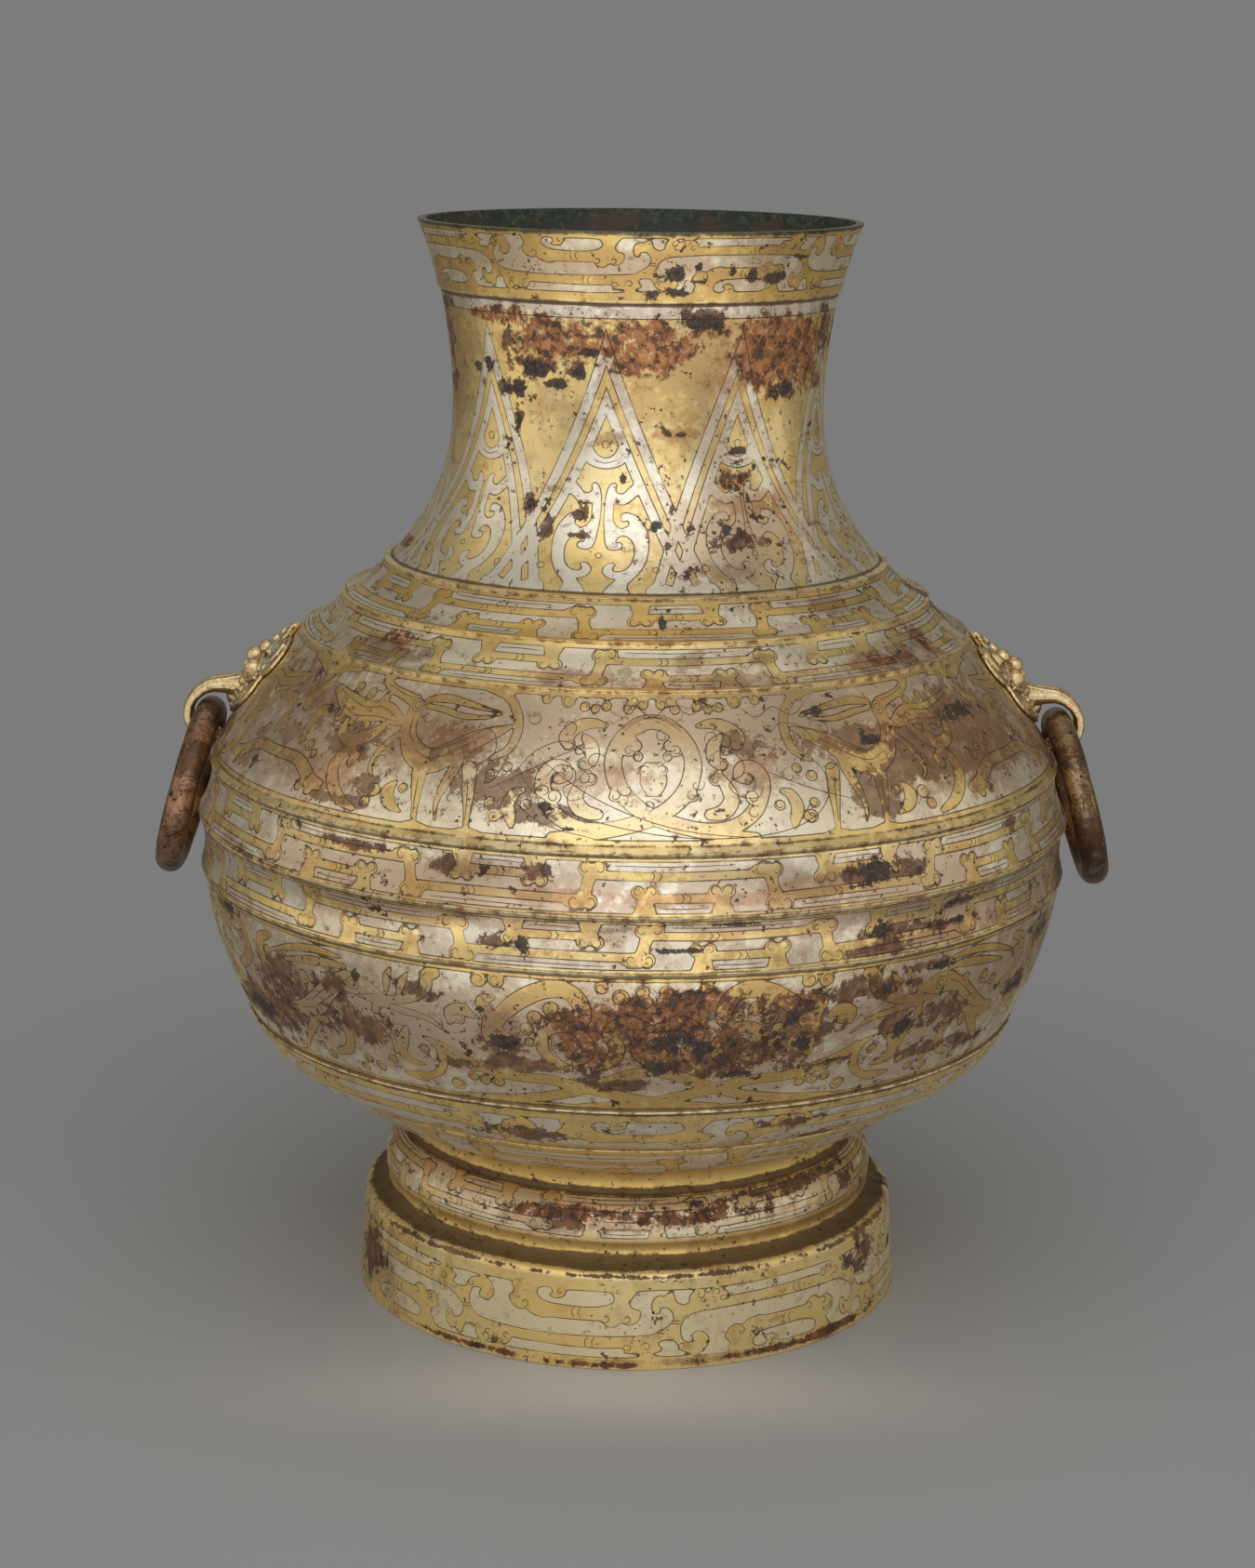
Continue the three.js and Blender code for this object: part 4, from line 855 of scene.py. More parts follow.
def skin(name, first, last, columns):
    low, high = rows.names.index(first), rows.names.index(last)
    chosen = np.nonzero((rows.stretch >= low) & (rows.stretch <= high))[0]
    if chosen[0] > 0:
        chosen = np.r_[chosen[0] - 1, chosen]
    angle = np.arange(columns)[None, :] * TAU / columns
    height = rows.points[chosen, 1]
    radius = rows.points[chosen, 0][:, None] + uneven(angle, height[:, None])
    thing = turned(name, radius, height, columns)
    angles = np.repeat(angle, len(chosen), 0)
    heights = np.repeat(height[:, None], columns, 1)
    figure = np.empty(angles.shape)
    for k in range(low, high + 1):
        here = np.nonzero(rows.stretch[chosen] == k)[0]
        count = NECK_COUNT if rows.names[k] in TAPERED else MOTIFS.get(rows.names[k], (1,))[0]
        share = columns // count
        along = np.repeat(rows.along[chosen][here][:, None], share, 1)
        level = np.repeat(rows.points[chosen][here][:, :1], share, 1)
        figure[here] = np.tile(figure_of(rows.names[k], angles[here][:, :share], along, level), count)
    if rows.stretch[chosen[0]] < low:
        figure[0] = figure[1]
    give(thing.data, "figure", figure)
    marks = {"rust": RUST, "stain": STAIN, "brown": BROWN, "black": BLACK, "haze_and_shade": HAZE_AND_SHADE, "painted_highlight": PAINTED_HIGHLIGHTS}
    for mark, spots in marks.items():
        give(thing.data, mark, blotches(spots, angles, heights))
    give(thing.data, "dirt_and_shade", dirt_and_shade(heights))
    for mark, shares in (("tarnish", TARNISH), ("overlaid", OVERLAID), ("warmth", WARMTH)):
        level = np.array([shares.get(rows.names[k], 0.0) for k in rows.stretch[chosen]])
        give(thing.data, mark, np.repeat(level[:, None], columns, 1))
    give(thing.data, "convex", np.repeat(rows.convex[chosen][:, None], columns, 1))
    give(thing.data, "hollow", np.repeat(rows.hollow[chosen][:, None], columns, 1))
    return thing


# Fine incised lines, as narrow strips laid just over the skin, which thin out towards their ends and stop
# short of the band's edges
LINE_WIDTH, LINE_LIFT, LINE_END = 0.34, 0.035, 0.3


def incised():
    points, faces, base = [], [], 0
    sets = [(name, *given) for name, given in MOTIFS.items()]
    sets.append(("neck_flare", NECK_COUNT, NECK_TURN, NECK_MOTIF))
    for name, count, turn, motif in sets:
        here = rows.stretch == rows.names.index(name)
        along, place, normal = rows.along[here], rows.points[here], rows.normal[here]
        scale = count * motif.width / TAU
        for line in motif.lines:
            line = line[(line[:, 1] > LINE_END) & (line[:, 1] < LENGTH[name] - LINE_END)]
            if len(line) < 3:
                continue
            ahead = np.gradient(line, axis=0)
            side = np.stack([-ahead[:, 1], ahead[:, 0]], 1) / np.hypot(*ahead.T)[:, None]
            taper = np.sin(np.linspace(0.12, 1, len(line)) * math.pi * 0.92) ** 0.4
            edges = [line + side * (s * LINE_WIDTH / 2 * taper)[:, None] for s in (-1, 1)]
            both = np.stack(edges, 1).reshape(-1, 2)
            quads = np.array([[2 * i, 2 * i + 2, 2 * i + 3, 2 * i + 1] for i in range(len(line) - 1)])
            radius = np.interp(both[:, 1], along, place[:, 0])
            height = np.interp(both[:, 1], along, place[:, 1])
            nr, nz = np.interp(both[:, 1], along, normal[:, 0]), np.interp(both[:, 1], along, normal[:, 1])
            for c in range(count):
                angle = both[:, 0] / scale + turn + c * TAU / count
                r = radius + uneven(angle, height) + nr * LINE_LIFT
                points.append(np.stack([r * np.sin(angle), -r * np.cos(angle), height + nz * LINE_LIFT], 1))
                faces.append(quads + base)
                base += len(both)
    return mesh_of("incised_lines", np.concatenate(points), np.concatenate(faces))


# The inside's distance from the outside, how many rows either way smooth it, and the columns it is turned in
INNER_WALL, SMOOTHED, INNER_COLUMNS = 2.9, 4, 288


# Inside wall, lip and the hollow of the foot
def inner_skins():
    first, last = rows.names.index("bowl"), rows.names.index("collar")
    wall = rows.points[(rows.stretch >= first) & (rows.stretch < last)][::3]
    ahead = np.gradient(wall, axis=0)
    out = np.stack([ahead[:, 1], -ahead[:, 0]], 1) / np.hypot(*ahead.T)[:, None]
    kernel = np.ones(2 * SMOOTHED + 1) / (2 * SMOOTHED + 1)
    padded = [np.pad(side, SMOOTHED, mode="edge") for side in (wall - out * INNER_WALL).T]
    smooth = np.stack([np.convolve(side, kernel, "valid") for side in padded], 1)
    # Lip, floor and the foot's hollow, as (radius, height)
    lip_in = np.array([[87.15, 450.0], [86.9, 449.5], [85.2, 443.0], [82.6, 433.0]])
    floor = np.array([[72, 79.3], [40, 79.15], [0.01, 79.1]])
    line = np.vstack([lip_in, smooth[::-1], floor])
    columns = INNER_COLUMNS
    angle = np.arange(columns)[None, :] * TAU / columns
    height = line[:, 1][:, None]
    fade = np.clip((BODY_HEIGHT - line[:, 1]) / 12, 0, 1)[:, None]
    wavy = 0.25 * np.sin(7 * angle + height * 0.21) * np.sin(3 * angle - height * 0.13)
    radius = line[:, 0][:, None] + (uneven(angle, height) + wavy) * fade
    inside = turned("inner_wall", radius, line[:, 1], columns)
    corners = [
        (0.01, 76.1), (72, 76.1), (92.4, 63.9), (98.5, 48.8), (102.8, 36.8), (109.6, 32.2), (112.2, 0.3),
        (112.6, 0), (115.9, 0),
    ]
    under = np.vstack([bowed(a, b) for a, b in zip(corners, corners[1:])])
    keep = np.r_[True, np.hypot(*np.diff(under, axis=0).T) > 1e-6]
    under = under[keep]
    below = turned("foot_hollow", np.repeat(under[:, 0][:, None], columns, 1), under[:, 1], columns)
    return inside, below


# Materials
class Shader:
    def __init__(self, name):
        self.material = bpy.data.materials.new(name)
        self.material.use_nodes = True
        self.tree = self.material.node_tree
        self.tree.nodes.clear()
        self.bsdf = self.node("ShaderNodeBsdfPrincipled")
        out = self.node("ShaderNodeOutputMaterial")
        self.tree.links.new(self.bsdf.outputs[0], out.inputs[0])
        self.place = self.node("ShaderNodeTexCoord").outputs["Object"]

    def node(self, kind, **settings):
        made = self.tree.nodes.new(kind)
        for key, value in settings.items():
            setattr(made, key, value)
        return made

    def put(self, socket, value):
        if isinstance(value, bpy.types.NodeSocket):
            self.tree.links.new(value, socket)
        elif isinstance(value, (tuple, list)) and len(value) == 3 and socket.type == "RGBA":
            socket.default_value = (*value, 1)
        else:
            socket.default_value = value

    def math(self, operation, *values):
        made = self.node("ShaderNodeMath", operation=operation)
        for socket, value in zip(made.inputs, values):
            self.put(socket, value)
        return made.outputs[0]

    def step(self, value, low, high):
        made = self.node("ShaderNodeMapRange", interpolation_type="SMOOTHSTEP")
        for socket, given in zip(made.inputs, (value, low, high, 0.0, 1.0)):
            self.put(socket, given)
        return made.outputs[0]

    def mix(self, share, a, b):
        made = self.node("ShaderNodeMix", data_type="RGBA")
        for socket, value in ((made.inputs[0], share), (made.inputs[6], a), (made.inputs[7], b)):
            self.put(socket, value)
        return made.outputs[2]

    def blend(self, share, a, b):
        made = self.node("ShaderNodeMix", data_type="FLOAT")
        for socket, value in ((made.inputs[0], share), (made.inputs[2], a), (made.inputs[3], b)):
            self.put(socket, value)
        return made.outputs[0]

    def noise(self, scale, detail=4.0, rough=0.55, stretch=(1, 1, 1)):
        place = self.place
        if stretch != (1, 1, 1):
            mapping = self.node("ShaderNodeMapping")
            self.put(mapping.inputs["Vector"], place)
            mapping.inputs["Scale"].default_value = stretch
            place = mapping.outputs[0]
        made = self.node("ShaderNodeTexNoise")
        self.put(made.inputs["Vector"], place)
        made.inputs["Scale"].default_value = scale
        made.inputs["Detail"].default_value = detail
        made.inputs["Roughness"].default_value = rough
        return made.outputs[0]

    def times(self, a, b):
        return self.math("MULTIPLY", a, b)

    def most(self, a, b):
        return self.math("MAXIMUM", a, b)

    # A noise centred on zero, and a sum of any number of values
    def about(self, value, size):
        return self.times(self.math("SUBTRACT", value, 0.5), size)

    def total(self, *values):
        result = values[0]
        for value in values[1:]:
            result = self.math("ADD", result, value)
        return result

    def attribute(self, name):
        return self.node("ShaderNodeAttribute", attribute_name=name).outputs["Fac"]

    def bump(self, height, distance):
        made = self.node("ShaderNodeBump")
        made.inputs["Strength"].default_value = 1.0
        made.inputs["Distance"].default_value = distance
        self.put(made.inputs["Height"], height)
        return made.outputs[0]

    def finish(self, colour, rough, metal, normal=None):
        self.put(self.bsdf.inputs["Base Color"], colour)
        self.put(self.bsdf.inputs["Roughness"], rough)
        self.put(self.bsdf.inputs["Metallic"], metal)
        if normal is not None:
            self.put(self.bsdf.inputs["Normal"], normal)
        return self.material


# Heights in metres between which the skin's look changes: rust turns orange, the brown crust thins out and
# comes back, the foot's satin turns to gloss, and verdigris begins at the lip
RUST_RISE, THIN_FROM, THIN_TO = (0.25, 0.36), (0.228, 0.234), (0.278, 0.286)
GLOSS_RISE, LIP_RISE, INNER_LIP_RISE = (0.036, 0.21), (0.4480, 0.4492), (0.4445, 0.4492)


def gilt_skin():
    s = Shader("gilt_and_silvered_bronze")
    wide, middle, fine = s.noise(21, 4), s.noise(88, 9, 0.68), s.noise(620, 5, 0.62)
    ragged, torn = s.noise(170, 10, 0.74), s.noise(46, 10, 0.7)
    streak = s.noise(52, 9, 0.66, (1, 1, 4.5))

    # Where silver is, and the line cut between it and gold
    figure = s.total(s.attribute("figure"), s.about(fine, 0.2))
    silver = s.step(figure, -0.07, 0.07)
    edge = s.math("ABSOLUTE", figure)
    cut = s.math("SUBTRACT", 1.0, s.step(edge, 0.12, 0.27))
    cut = s.times(cut, s.blend(s.step(s.noise(70, 3), 0.34, 0.52), 0.55, 1.0))

    # Colours of the two metals, from clean to worn
    gold = s.mix(s.step(wide, 0.40, 0.60), (0.94, 0.71, 0.30), (0.91, 0.745, 0.40))
    gold = s.mix(s.step(s.total(torn, s.about(ragged, 0.6)), 0.52, 0.64), gold, (0.79, 0.555, 0.22))
    deep = s.total(s.attribute("warmth"), s.about(torn, 0.9), s.about(ragged, 0.4))
    gold = s.mix(s.step(deep, 0.15, 0.95), gold, (0.84, 0.585, 0.20))
    tarnish = s.step(s.total(s.attribute("tarnish"), s.about(torn, 1.6), s.about(ragged, 0.8)), 0.25, 0.8)
    pale = s.mix(tarnish, (0.92, 0.87, 0.76), (0.71, 0.645, 0.58))
    pale = s.mix(s.times(s.step(streak, 0.5, 0.66), 0.25), pale, (0.50, 0.38, 0.28))
    pale = s.mix(s.total(s.attribute("overlaid"), s.about(torn, 0.8)), pale, (0.89, 0.76, 0.48))
    colour = s.mix(silver, gold, pale)
    # Pale painted highlight, where the light washes gold and silver out to one cream
    painted_highlight = s.total(s.attribute("painted_highlight"), s.about(torn, 0.9))
    colour = s.mix(s.times(s.step(painted_highlight, 0.1, 0.9), 0.75), colour, (0.92, 0.82, 0.64))

    # Brown film, partly painted shade over too bright parts, and scuffs
    haze_and_shade = s.attribute("haze_and_shade")
    film_and_shade = s.total(s.times(haze_and_shade, 0.34), middle, s.about(wide, 0.8), s.about(ragged, 0.9))
    film_and_shade = s.step(film_and_shade, 0.50, 0.72)
    colour = s.mix(s.times(film_and_shade, s.blend(haze_and_shade, 0.22, 0.60)), colour, (0.39, 0.205, 0.09))
    scuffs = s.step(s.total(streak, s.about(fine, 0.6), s.about(ragged, 0.8)), 0.63, 0.69)
    colour = s.mix(s.times(scuffs, s.blend(silver, 0.35, 0.5)), colour, (0.17, 0.095, 0.055))

    # Stain, rust, and brown and black crusts
    stain = s.total(s.attribute("stain"), s.about(torn, 1.6), s.about(ragged, 1.6), s.about(fine, 0.5))
    stain = s.step(stain, 0.40, 0.78)
    reddish = s.mix(s.step(middle, 0.44, 0.58), (0.50, 0.25, 0.13), (0.27, 0.14, 0.075))
    colour = s.mix(s.times(stain, 0.55), colour, reddish)
    rust = s.total(s.attribute("rust"), s.about(torn, 1.7), s.about(ragged, 1.9), s.about(fine, 0.6))
    rust = s.step(rust, 0.52, 0.68)
    high = s.node("ShaderNodeSeparateXYZ")
    s.put(high.inputs[0], s.place)
    upper = s.step(high.outputs[2], *RUST_RISE)
    orange = s.mix(s.step(middle, 0.42, 0.56), (0.52, 0.24, 0.10), (0.33, 0.14, 0.06))
    darker = s.mix(s.step(middle, 0.42, 0.56), (0.34, 0.15, 0.065), (0.21, 0.09, 0.042))
    orange = s.mix(upper, darker, orange)
    orange = s.mix(s.step(ragged, 0.50, 0.62), orange, (0.17, 0.08, 0.04))
    broken = s.step(s.total(ragged, s.about(fine, 0.8)), 0.30, 0.46)
    colour = s.mix(s.times(rust, broken), colour, orange)
    brown = s.total(s.attribute("brown"), s.about(silver, 0.22), s.about(torn, 1.5), s.about(ragged, 2.2))
    brown = s.step(s.total(brown, s.about(fine, 0.8)), 0.50, 0.62)
    umber = s.mix(s.step(ragged, 0.42, 0.58), (0.25, 0.12, 0.06), (0.095, 0.048, 0.03))
    level = high.outputs[2]
    thin = s.math("SUBTRACT", s.step(level, *THIN_FROM), s.step(level, *THIN_TO))
    umber = s.mix(s.times(thin, 0.5), umber, (0.27, 0.135, 0.065))
    colour = s.mix(s.times(brown, s.blend(thin, 0.92, 0.80)), colour, umber)
    black = s.step(s.total(s.attribute("black"), s.about(ragged, 2.6), s.about(fine, 0.9)), 0.50, 0.60)
    pocks = s.step(s.total(s.noise(250, 8, 0.7), s.times(s.attribute("rust"), 0.09)), 0.60, 0.635)
    pocks = s.times(pocks, s.step(s.attribute("rust"), 0.25, 0.6))
    black = s.most(black, s.times(pocks, 0.85))

    # Specks all over
    crowded = s.step(s.total(wide, s.about(middle, 1.4)), 0.42, 0.58)
    small = s.times(s.step(s.noise(420, 4), 0.62, 0.66), crowded)
    large = s.total(s.noise(135, 7, 0.66), s.about(wide, 0.3), s.times(haze_and_shade, 0.05))
    large = s.step(large, 0.665, 0.69)
    specks = s.most(small, large)
    colour = s.mix(s.times(specks, 0.9), colour, (0.07, 0.04, 0.028))
    ink = s.mix(s.step(fine, 0.44, 0.60), (0.032, 0.023, 0.02), (0.085, 0.062, 0.058))
    colour = s.mix(s.times(black, 0.94), colour, ink)

    # Dirt with painted shade in the hollows and under the ridges, rubbed edges partly lit as a painted edge
    # highlight, cut lines and the lip
    hollow = s.most(s.attribute("hollow"), s.attribute("dirt_and_shade"))
    # Dark brown in the hollows and under the ridges: dirt, and painted shade where the ridges overhang
    grime_and_shade = s.step(s.total(hollow, s.about(streak, 1.2), s.about(ragged, 0.9)), 0.30, 0.62)
    colour = s.mix(s.times(grime_and_shade, 0.86), colour, (0.075, 0.042, 0.02))
    lip = s.step(s.total(level, s.about(ragged, 0.004)), *LIP_RISE)
    verdigris = s.mix(s.step(fine, 0.45, 0.58), (0.04, 0.036, 0.026), (0.085, 0.115, 0.085))
    # Rubbed edges: wear, lightened in part as a painted edge highlight along the arrises
    rubbed_and_sheen = s.step(s.total(s.attribute("convex"), s.about(streak, 1.3), s.about(ragged, 0.6)), 0.5, 0.85)
    wear_and_sheen = s.mix(s.step(ragged, 0.46, 0.58), (0.88, 0.74, 0.46), (0.34, 0.20, 0.10))
    colour = s.mix(s.times(rubbed_and_sheen, 0.75), colour, wear_and_sheen)
    colour = s.mix(s.times(cut, 0.85), colour, (0.045, 0.027, 0.016))
    colour = s.mix(s.times(lip, 0.88), colour, verdigris)

    # Roughness, metal and relief
    crust = s.most(s.times(rust, 0.55), s.times(brown, 0.75))
    dull = s.most(s.most(crust, black), s.times(grime_and_shade, 0.6))
    rough = s.blend(dull, s.blend(silver, 0.33, 0.36), 0.55)
    rough = s.total(rough, s.about(middle, 0.22), s.about(streak, 0.16))
    rough = s.total(rough, s.blend(s.step(level, *GLOSS_RISE), 0.16, 0.0))
    metal = s.blend(dull, 0.86, 0.4)
    relief = s.total(s.times(middle, 0.5), s.times(ragged, 0.4), s.times(fine, 0.2))
    pits = s.most(cut, s.times(s.most(black, specks), 0.8))
    relief = s.math("SUBTRACT", relief, s.times(pits, 0.7))
    return s.finish(colour, rough, metal, s.bump(relief, 0.00016))


def line_ink():
    s = Shader("incised_line")
    tone = s.mix(s.step(s.noise(90, 4), 0.4, 0.7), (0.045, 0.03, 0.018), (0.22, 0.13, 0.07))
    return s.finish(tone, 0.6, 0.3, s.bump(s.noise(900, 3), 0.00004))


def inner_bronze():
    s = Shader("old_bronze_inside")
    patch, fine = s.noise(45, 8, 0.68), s.noise(380, 6, 0.65)
    colour = s.mix(s.step(patch, 0.42, 0.56), (0.085, 0.058, 0.042), (0.045, 0.052, 0.038))
    colour = s.mix(s.step(fine, 0.55, 0.66), colour, (0.15, 0.11, 0.085))
    high = s.node("ShaderNodeSeparateXYZ")
    s.put(high.inputs[0], s.place)
    near_lip = s.step(s.total(high.outputs[2], s.about(patch, 0.02)), *INNER_LIP_RISE)
    lip = s.mix(s.step(fine, 0.45, 0.6), (0.022, 0.034, 0.026), (0.07, 0.095, 0.07))
    colour = s.mix(s.times(near_lip, 0.85), colour, lip)
    rough = s.math("ADD", 0.5, s.times(fine, 0.3))
    return s.finish(colour, rough, 0.3, s.bump(s.math("ADD", patch, fine), 0.0007))


def mask_gilding(name, green_from):
    s = Shader(name)
    point = s.node("ShaderNodeNewGeometry").outputs["Pointiness"]
    fine, middle, wide = s.noise(1100, 5, 0.6), s.noise(300, 7, 0.66), s.noise(85, 5, 0.6)
    raised = s.step(s.total(point, s.about(fine, 0.05), s.about(middle, 0.06)), 0.46, 0.515)
    gold = s.mix(s.step(middle, 0.42, 0.62), (0.88, 0.70, 0.40), (0.72, 0.50, 0.26))
    gold = s.mix(s.step(wide, 0.54, 0.66), gold, (0.50, 0.31, 0.17))
    colour = s.mix(raised, (0.085, 0.055, 0.032), gold)
    scuffs = s.step(s.noise(480, 5, 0.65), 0.60, 0.66)
    colour = s.mix(s.times(scuffs, 0.8), colour, (0.10, 0.06, 0.04))
    green = s.step(s.total(wide, s.about(middle, 0.7), s.about(fine, 0.4)), green_from, green_from + 0.07)
    green = s.times(green, s.blend(raised, 0.95, 0.55))
    colour = s.mix(green, colour, s.mix(s.step(middle, 0.42, 0.58), (0.09, 0.17, 0.15), (0.32, 0.44, 0.36)))
    rough = s.blend(green, s.blend(raised, 0.5, 0.30), 0.75)
    metal = s.blend(green, s.blend(raised, 0.5, 1.0), 0.1)
    return s.finish(colour, rough, metal, s.bump(s.total(middle, s.times(fine, 0.5)), 0.0003))


def ring_bronze(name, wear_and_sheen):
    s = Shader(name)
    fine, middle, wide = s.noise(900, 6, 0.7), s.noise(210, 8, 0.7), s.noise(48, 4)
    colour = s.mix(s.step(middle, 0.40, 0.60), (0.10, 0.056, 0.035), (0.15, 0.085, 0.052))
    # Shine patches: worn spots in lighter copper, with painted sheen standing in for the rod's reflections
    shine = s.step(s.total(fine, s.about(middle, 0.6), s.about(wide, 0.9)), 0.44, 0.62)
    colour = s.mix(s.times(shine, 0.6), colour, wear_and_sheen)
    spots = s.step(s.total(s.noise(330, 5, 0.65), s.about(wide, 0.3)), 0.62, 0.68)
    colour = s.mix(spots, colour, (0.036, 0.026, 0.02))
    rough = s.total(s.blend(shine, 0.38, 0.30), s.about(middle, 0.16))
    return s.finish(colour, rough, 0.85, s.bump(s.total(middle, s.times(fine, 0.6)), 0.00012))


# Pieces that ride on the jar
gilt = gilt_skin()
for skin_name, first_stretch, last_stretch, around in SKINS:
    piece = skin(skin_name, first_stretch, last_stretch, around)
    piece.data.materials.append(gilt)
    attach(piece, "jar")
    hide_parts("vessel_body")
old_bronze = inner_bronze()
for piece in inner_skins():
    piece.data.materials.append(old_bronze)
    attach(piece, "jar")
lines = incised()
lines.data.materials.append(line_ink())
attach(lines, "jar")


# Masks: the cast form with bosses, ridges and a fuller, fluted strap, remeshed so that all flow together
MASK_TOP_GAP, MASK_HEIGHT = 1.2, 48
MASK_VOXEL = 0.36 * MM
belly_rows = rows.stretch == rows.names.index("upper_belly")
BELLY_ALONG, BELLY_PLACE, BELLY_OUT = rows.along[belly_rows], rows.points[belly_rows], rows.normal[belly_rows]


# A place on the belly under the right mask: across, up the slope from the chin, and out from the wall
def on_belly(across, up, out):
    along = LENGTH["upper_belly"] - MASK_TOP_GAP - MASK_HEIGHT + up
    radius, height = (np.interp(along, BELLY_ALONG, BELLY_PLACE[:, k]) for k in (0, 1))
    slope = [np.interp(along, BELLY_ALONG, BELLY_OUT[:, k]) for k in (0, 1)]
    angle = across / radius
    reach = radius + slope[0] * out
    return np.array([reach * math.cos(angle), reach * math.sin(angle), height + slope[1] * out])


class Clay:
    """Closed forms that overlap, collected before they are remeshed as one."""

    def __init__(self):
        self.points, self.faces, self.count = [], [], 0

    def add(self, points, faces):
        self.points.append(points)
        self.faces += [[k + self.count for k in face] for face in faces]
        self.count += len(points)

    def ball(self, place, size):
        rings, around = 8, 14
        tilt = np.linspace(0.06, math.pi - 0.06, rings)[:, None]
        turn = np.arange(around)[None, :] * TAU / around
        level = np.cos(tilt) + 0 * turn
        shell = np.stack([np.sin(tilt) * np.cos(turn), np.sin(tilt) * np.sin(turn), level], 2)
        self.closed(place + size * shell)

    # A tube of stations (x, y, z, half height, half width); the half width lies along Y
    def tube(self, stations, around=14):
        spine = np.array(stations, float)
        ahead = np.gradient(spine[:, :3], axis=0)
        ahead /= np.linalg.norm(ahead, axis=1)[:, None]
        side = np.cross(ahead, np.cross([0.0, 1.0, 0.0], ahead))
        side /= np.linalg.norm(side, axis=1)[:, None]
        up = np.cross(side, ahead)
        turn = np.arange(around)[None, :, None] * TAU / around
        tall, wide = spine[:, None, 3:4], spine[:, None, 4:5]
        ring = up[:, None] * np.cos(turn) * tall + side[:, None] * np.sin(turn) * wide
        self.closed(spine[:, None, :3] + ring)

    def closed(self, grid):
        rings, around = grid.shape[:2]
        faces = []
        for i in range(rings - 1):
            for j in range(around):
                k = (j + 1) % around
                faces.append([i * around + j, i * around + k, (i + 1) * around + k, (i + 1) * around + j])
        faces.append(list(range(around))[::-1])
        faces.append([(rings - 1) * around + j for j in range(around)])
        self.add(grid.reshape(-1, 3), faces)


# The strap in the plane y = 0, from the mask over the ring and down outside it, as
# (x, z, half height, half width)
STRAP_LINE = [
    (162.5, 255.8, 5.4, 6.6), (167, 255.6, 4.7, 5.8), (172, 255.7, 3.9, 5.1), (177, 255.5, 3.4, 4.8),
    (181.4, 253.5, 2.7, 4.6), (184.8, 250.0, 2.2, 4.5), (186.9, 245.6, 2.0, 4.4), (187.1, 241.0, 1.9, 4.3),
    (186.2, 237.4, 1.6, 4.0),
]
STRAP_RIDGES, RIDGE_SIZE, RIDGE_SUNK = (-3.3, -1.15, 1.15, 3.3), 0.62, 0.2
# The muzzle under the strap's root, as (x, z, size)
MUZZLE = ((167.4, 250.6, 3.8), (166.6, 246.4, 3.2))
# Bosses as (across, up, out, size), the near half of the face, and how deep they are sunk into it
BOSS_SUNK = 1.2
BOSSES = [
    (0, 45.5, 3.2, 1.7), (0, 41.2, 4.4, 2.1), (0, 36.6, 5.2, 2.5), (0, 31.2, 6.4, 3.3), (0, 25.4, 8.0, 3.9),
    (3.4, 42.6, 3.0, 1.5), (4.6, 38.4, 3.6, 1.7), (5.4, 33.4, 4.2, 2.0), (10, 22.6, 5.6, 4.2),
    (10, 22.6, 9.2, 1.5), (6.2, 15.6, 5.0, 2.6), (3.2, 11.2, 4.6, 2.2), (9.6, 12.6, 3.6, 2.0),
    (13.4, 16.2, 3.2, 1.9), (7.4, 6.8, 3.0, 1.8), (3.4, 3.6, 2.8, 1.7), (16.8, 22.4, 3.2, 1.9),
    (19.6, 27.4, 3.0, 1.9), (0, 4.6, 3.4, 2.0),
]
# Ridges as runs of (across, up, out)
RIDGES = [
    [(3.2, 46, 2.6), (5.6, 41, 3.4), (7.8, 36, 3.9), (9.2, 31, 4.2)],
    [(5.4, 45, 2.4), (8.0, 40.6, 3.2), (10.4, 36.2, 3.6), (12, 31.6, 3.8)],
    [(7.8, 43.4, 2.3), (10.6, 39.6, 3.0), (13.2, 36, 3.2), (15, 31.8, 3.4)],
    [(5.2, 28.8, 4.6), (9.4, 29.6, 4.9), (14, 28.4, 4.4), (17.6, 24.4, 3.4)],
    [(5.2, 17.4, 4.6), (10.4, 16.8, 4.4), (15.4, 18.6, 3.6), (19.4, 21.6, 2.8)],
    [(2.4, 7.6, 3.6), (6.8, 9.4, 3.8), (11.4, 9.2, 3.2), (15.4, 11.6, 2.4)],
]
RIDGE_THICK = 0.85


def mask_clay():
    clay = Clay()
    stations = [(x, 0.0, z, tall, wide) for x, z, tall, wide in STRAP_LINE]
    clay.tube(stations)
    spine = np.array([(x, z) for x, z, _, _ in STRAP_LINE])
    ahead = np.gradient(spine, axis=0)
    outward = np.stack([-ahead[:, 1], ahead[:, 0]], 1) / np.hypot(*ahead.T)[:, None]
    for y in STRAP_RIDGES:
        run = []
        for (x, z, tall, wide), out in zip(STRAP_LINE, outward):
            lift = tall * math.sqrt(1 - (y / wide) ** 2) - RIDGE_SUNK
            run.append((x + out[0] * lift, y, z + out[1] * lift, RIDGE_SIZE, RIDGE_SIZE))
        clay.tube(run, 8)
    for x, z, size in MUZZLE:
        clay.ball(np.array([x, 0.0, z]), size)
    for across, up, out, size in BOSSES:
        for way in (1, -1) if across else (1,):
            clay.ball(on_belly(way * across, up, out - BOSS_SUNK), size)
    for run in RIDGES:
        for way in (1, -1):
            line = spline([(way * across, up, out) for across, up, out in run], 4)
            clay.tube([(*on_belly(*place), RIDGE_THICK, RIDGE_THICK) for place in line], 8)
    return clay


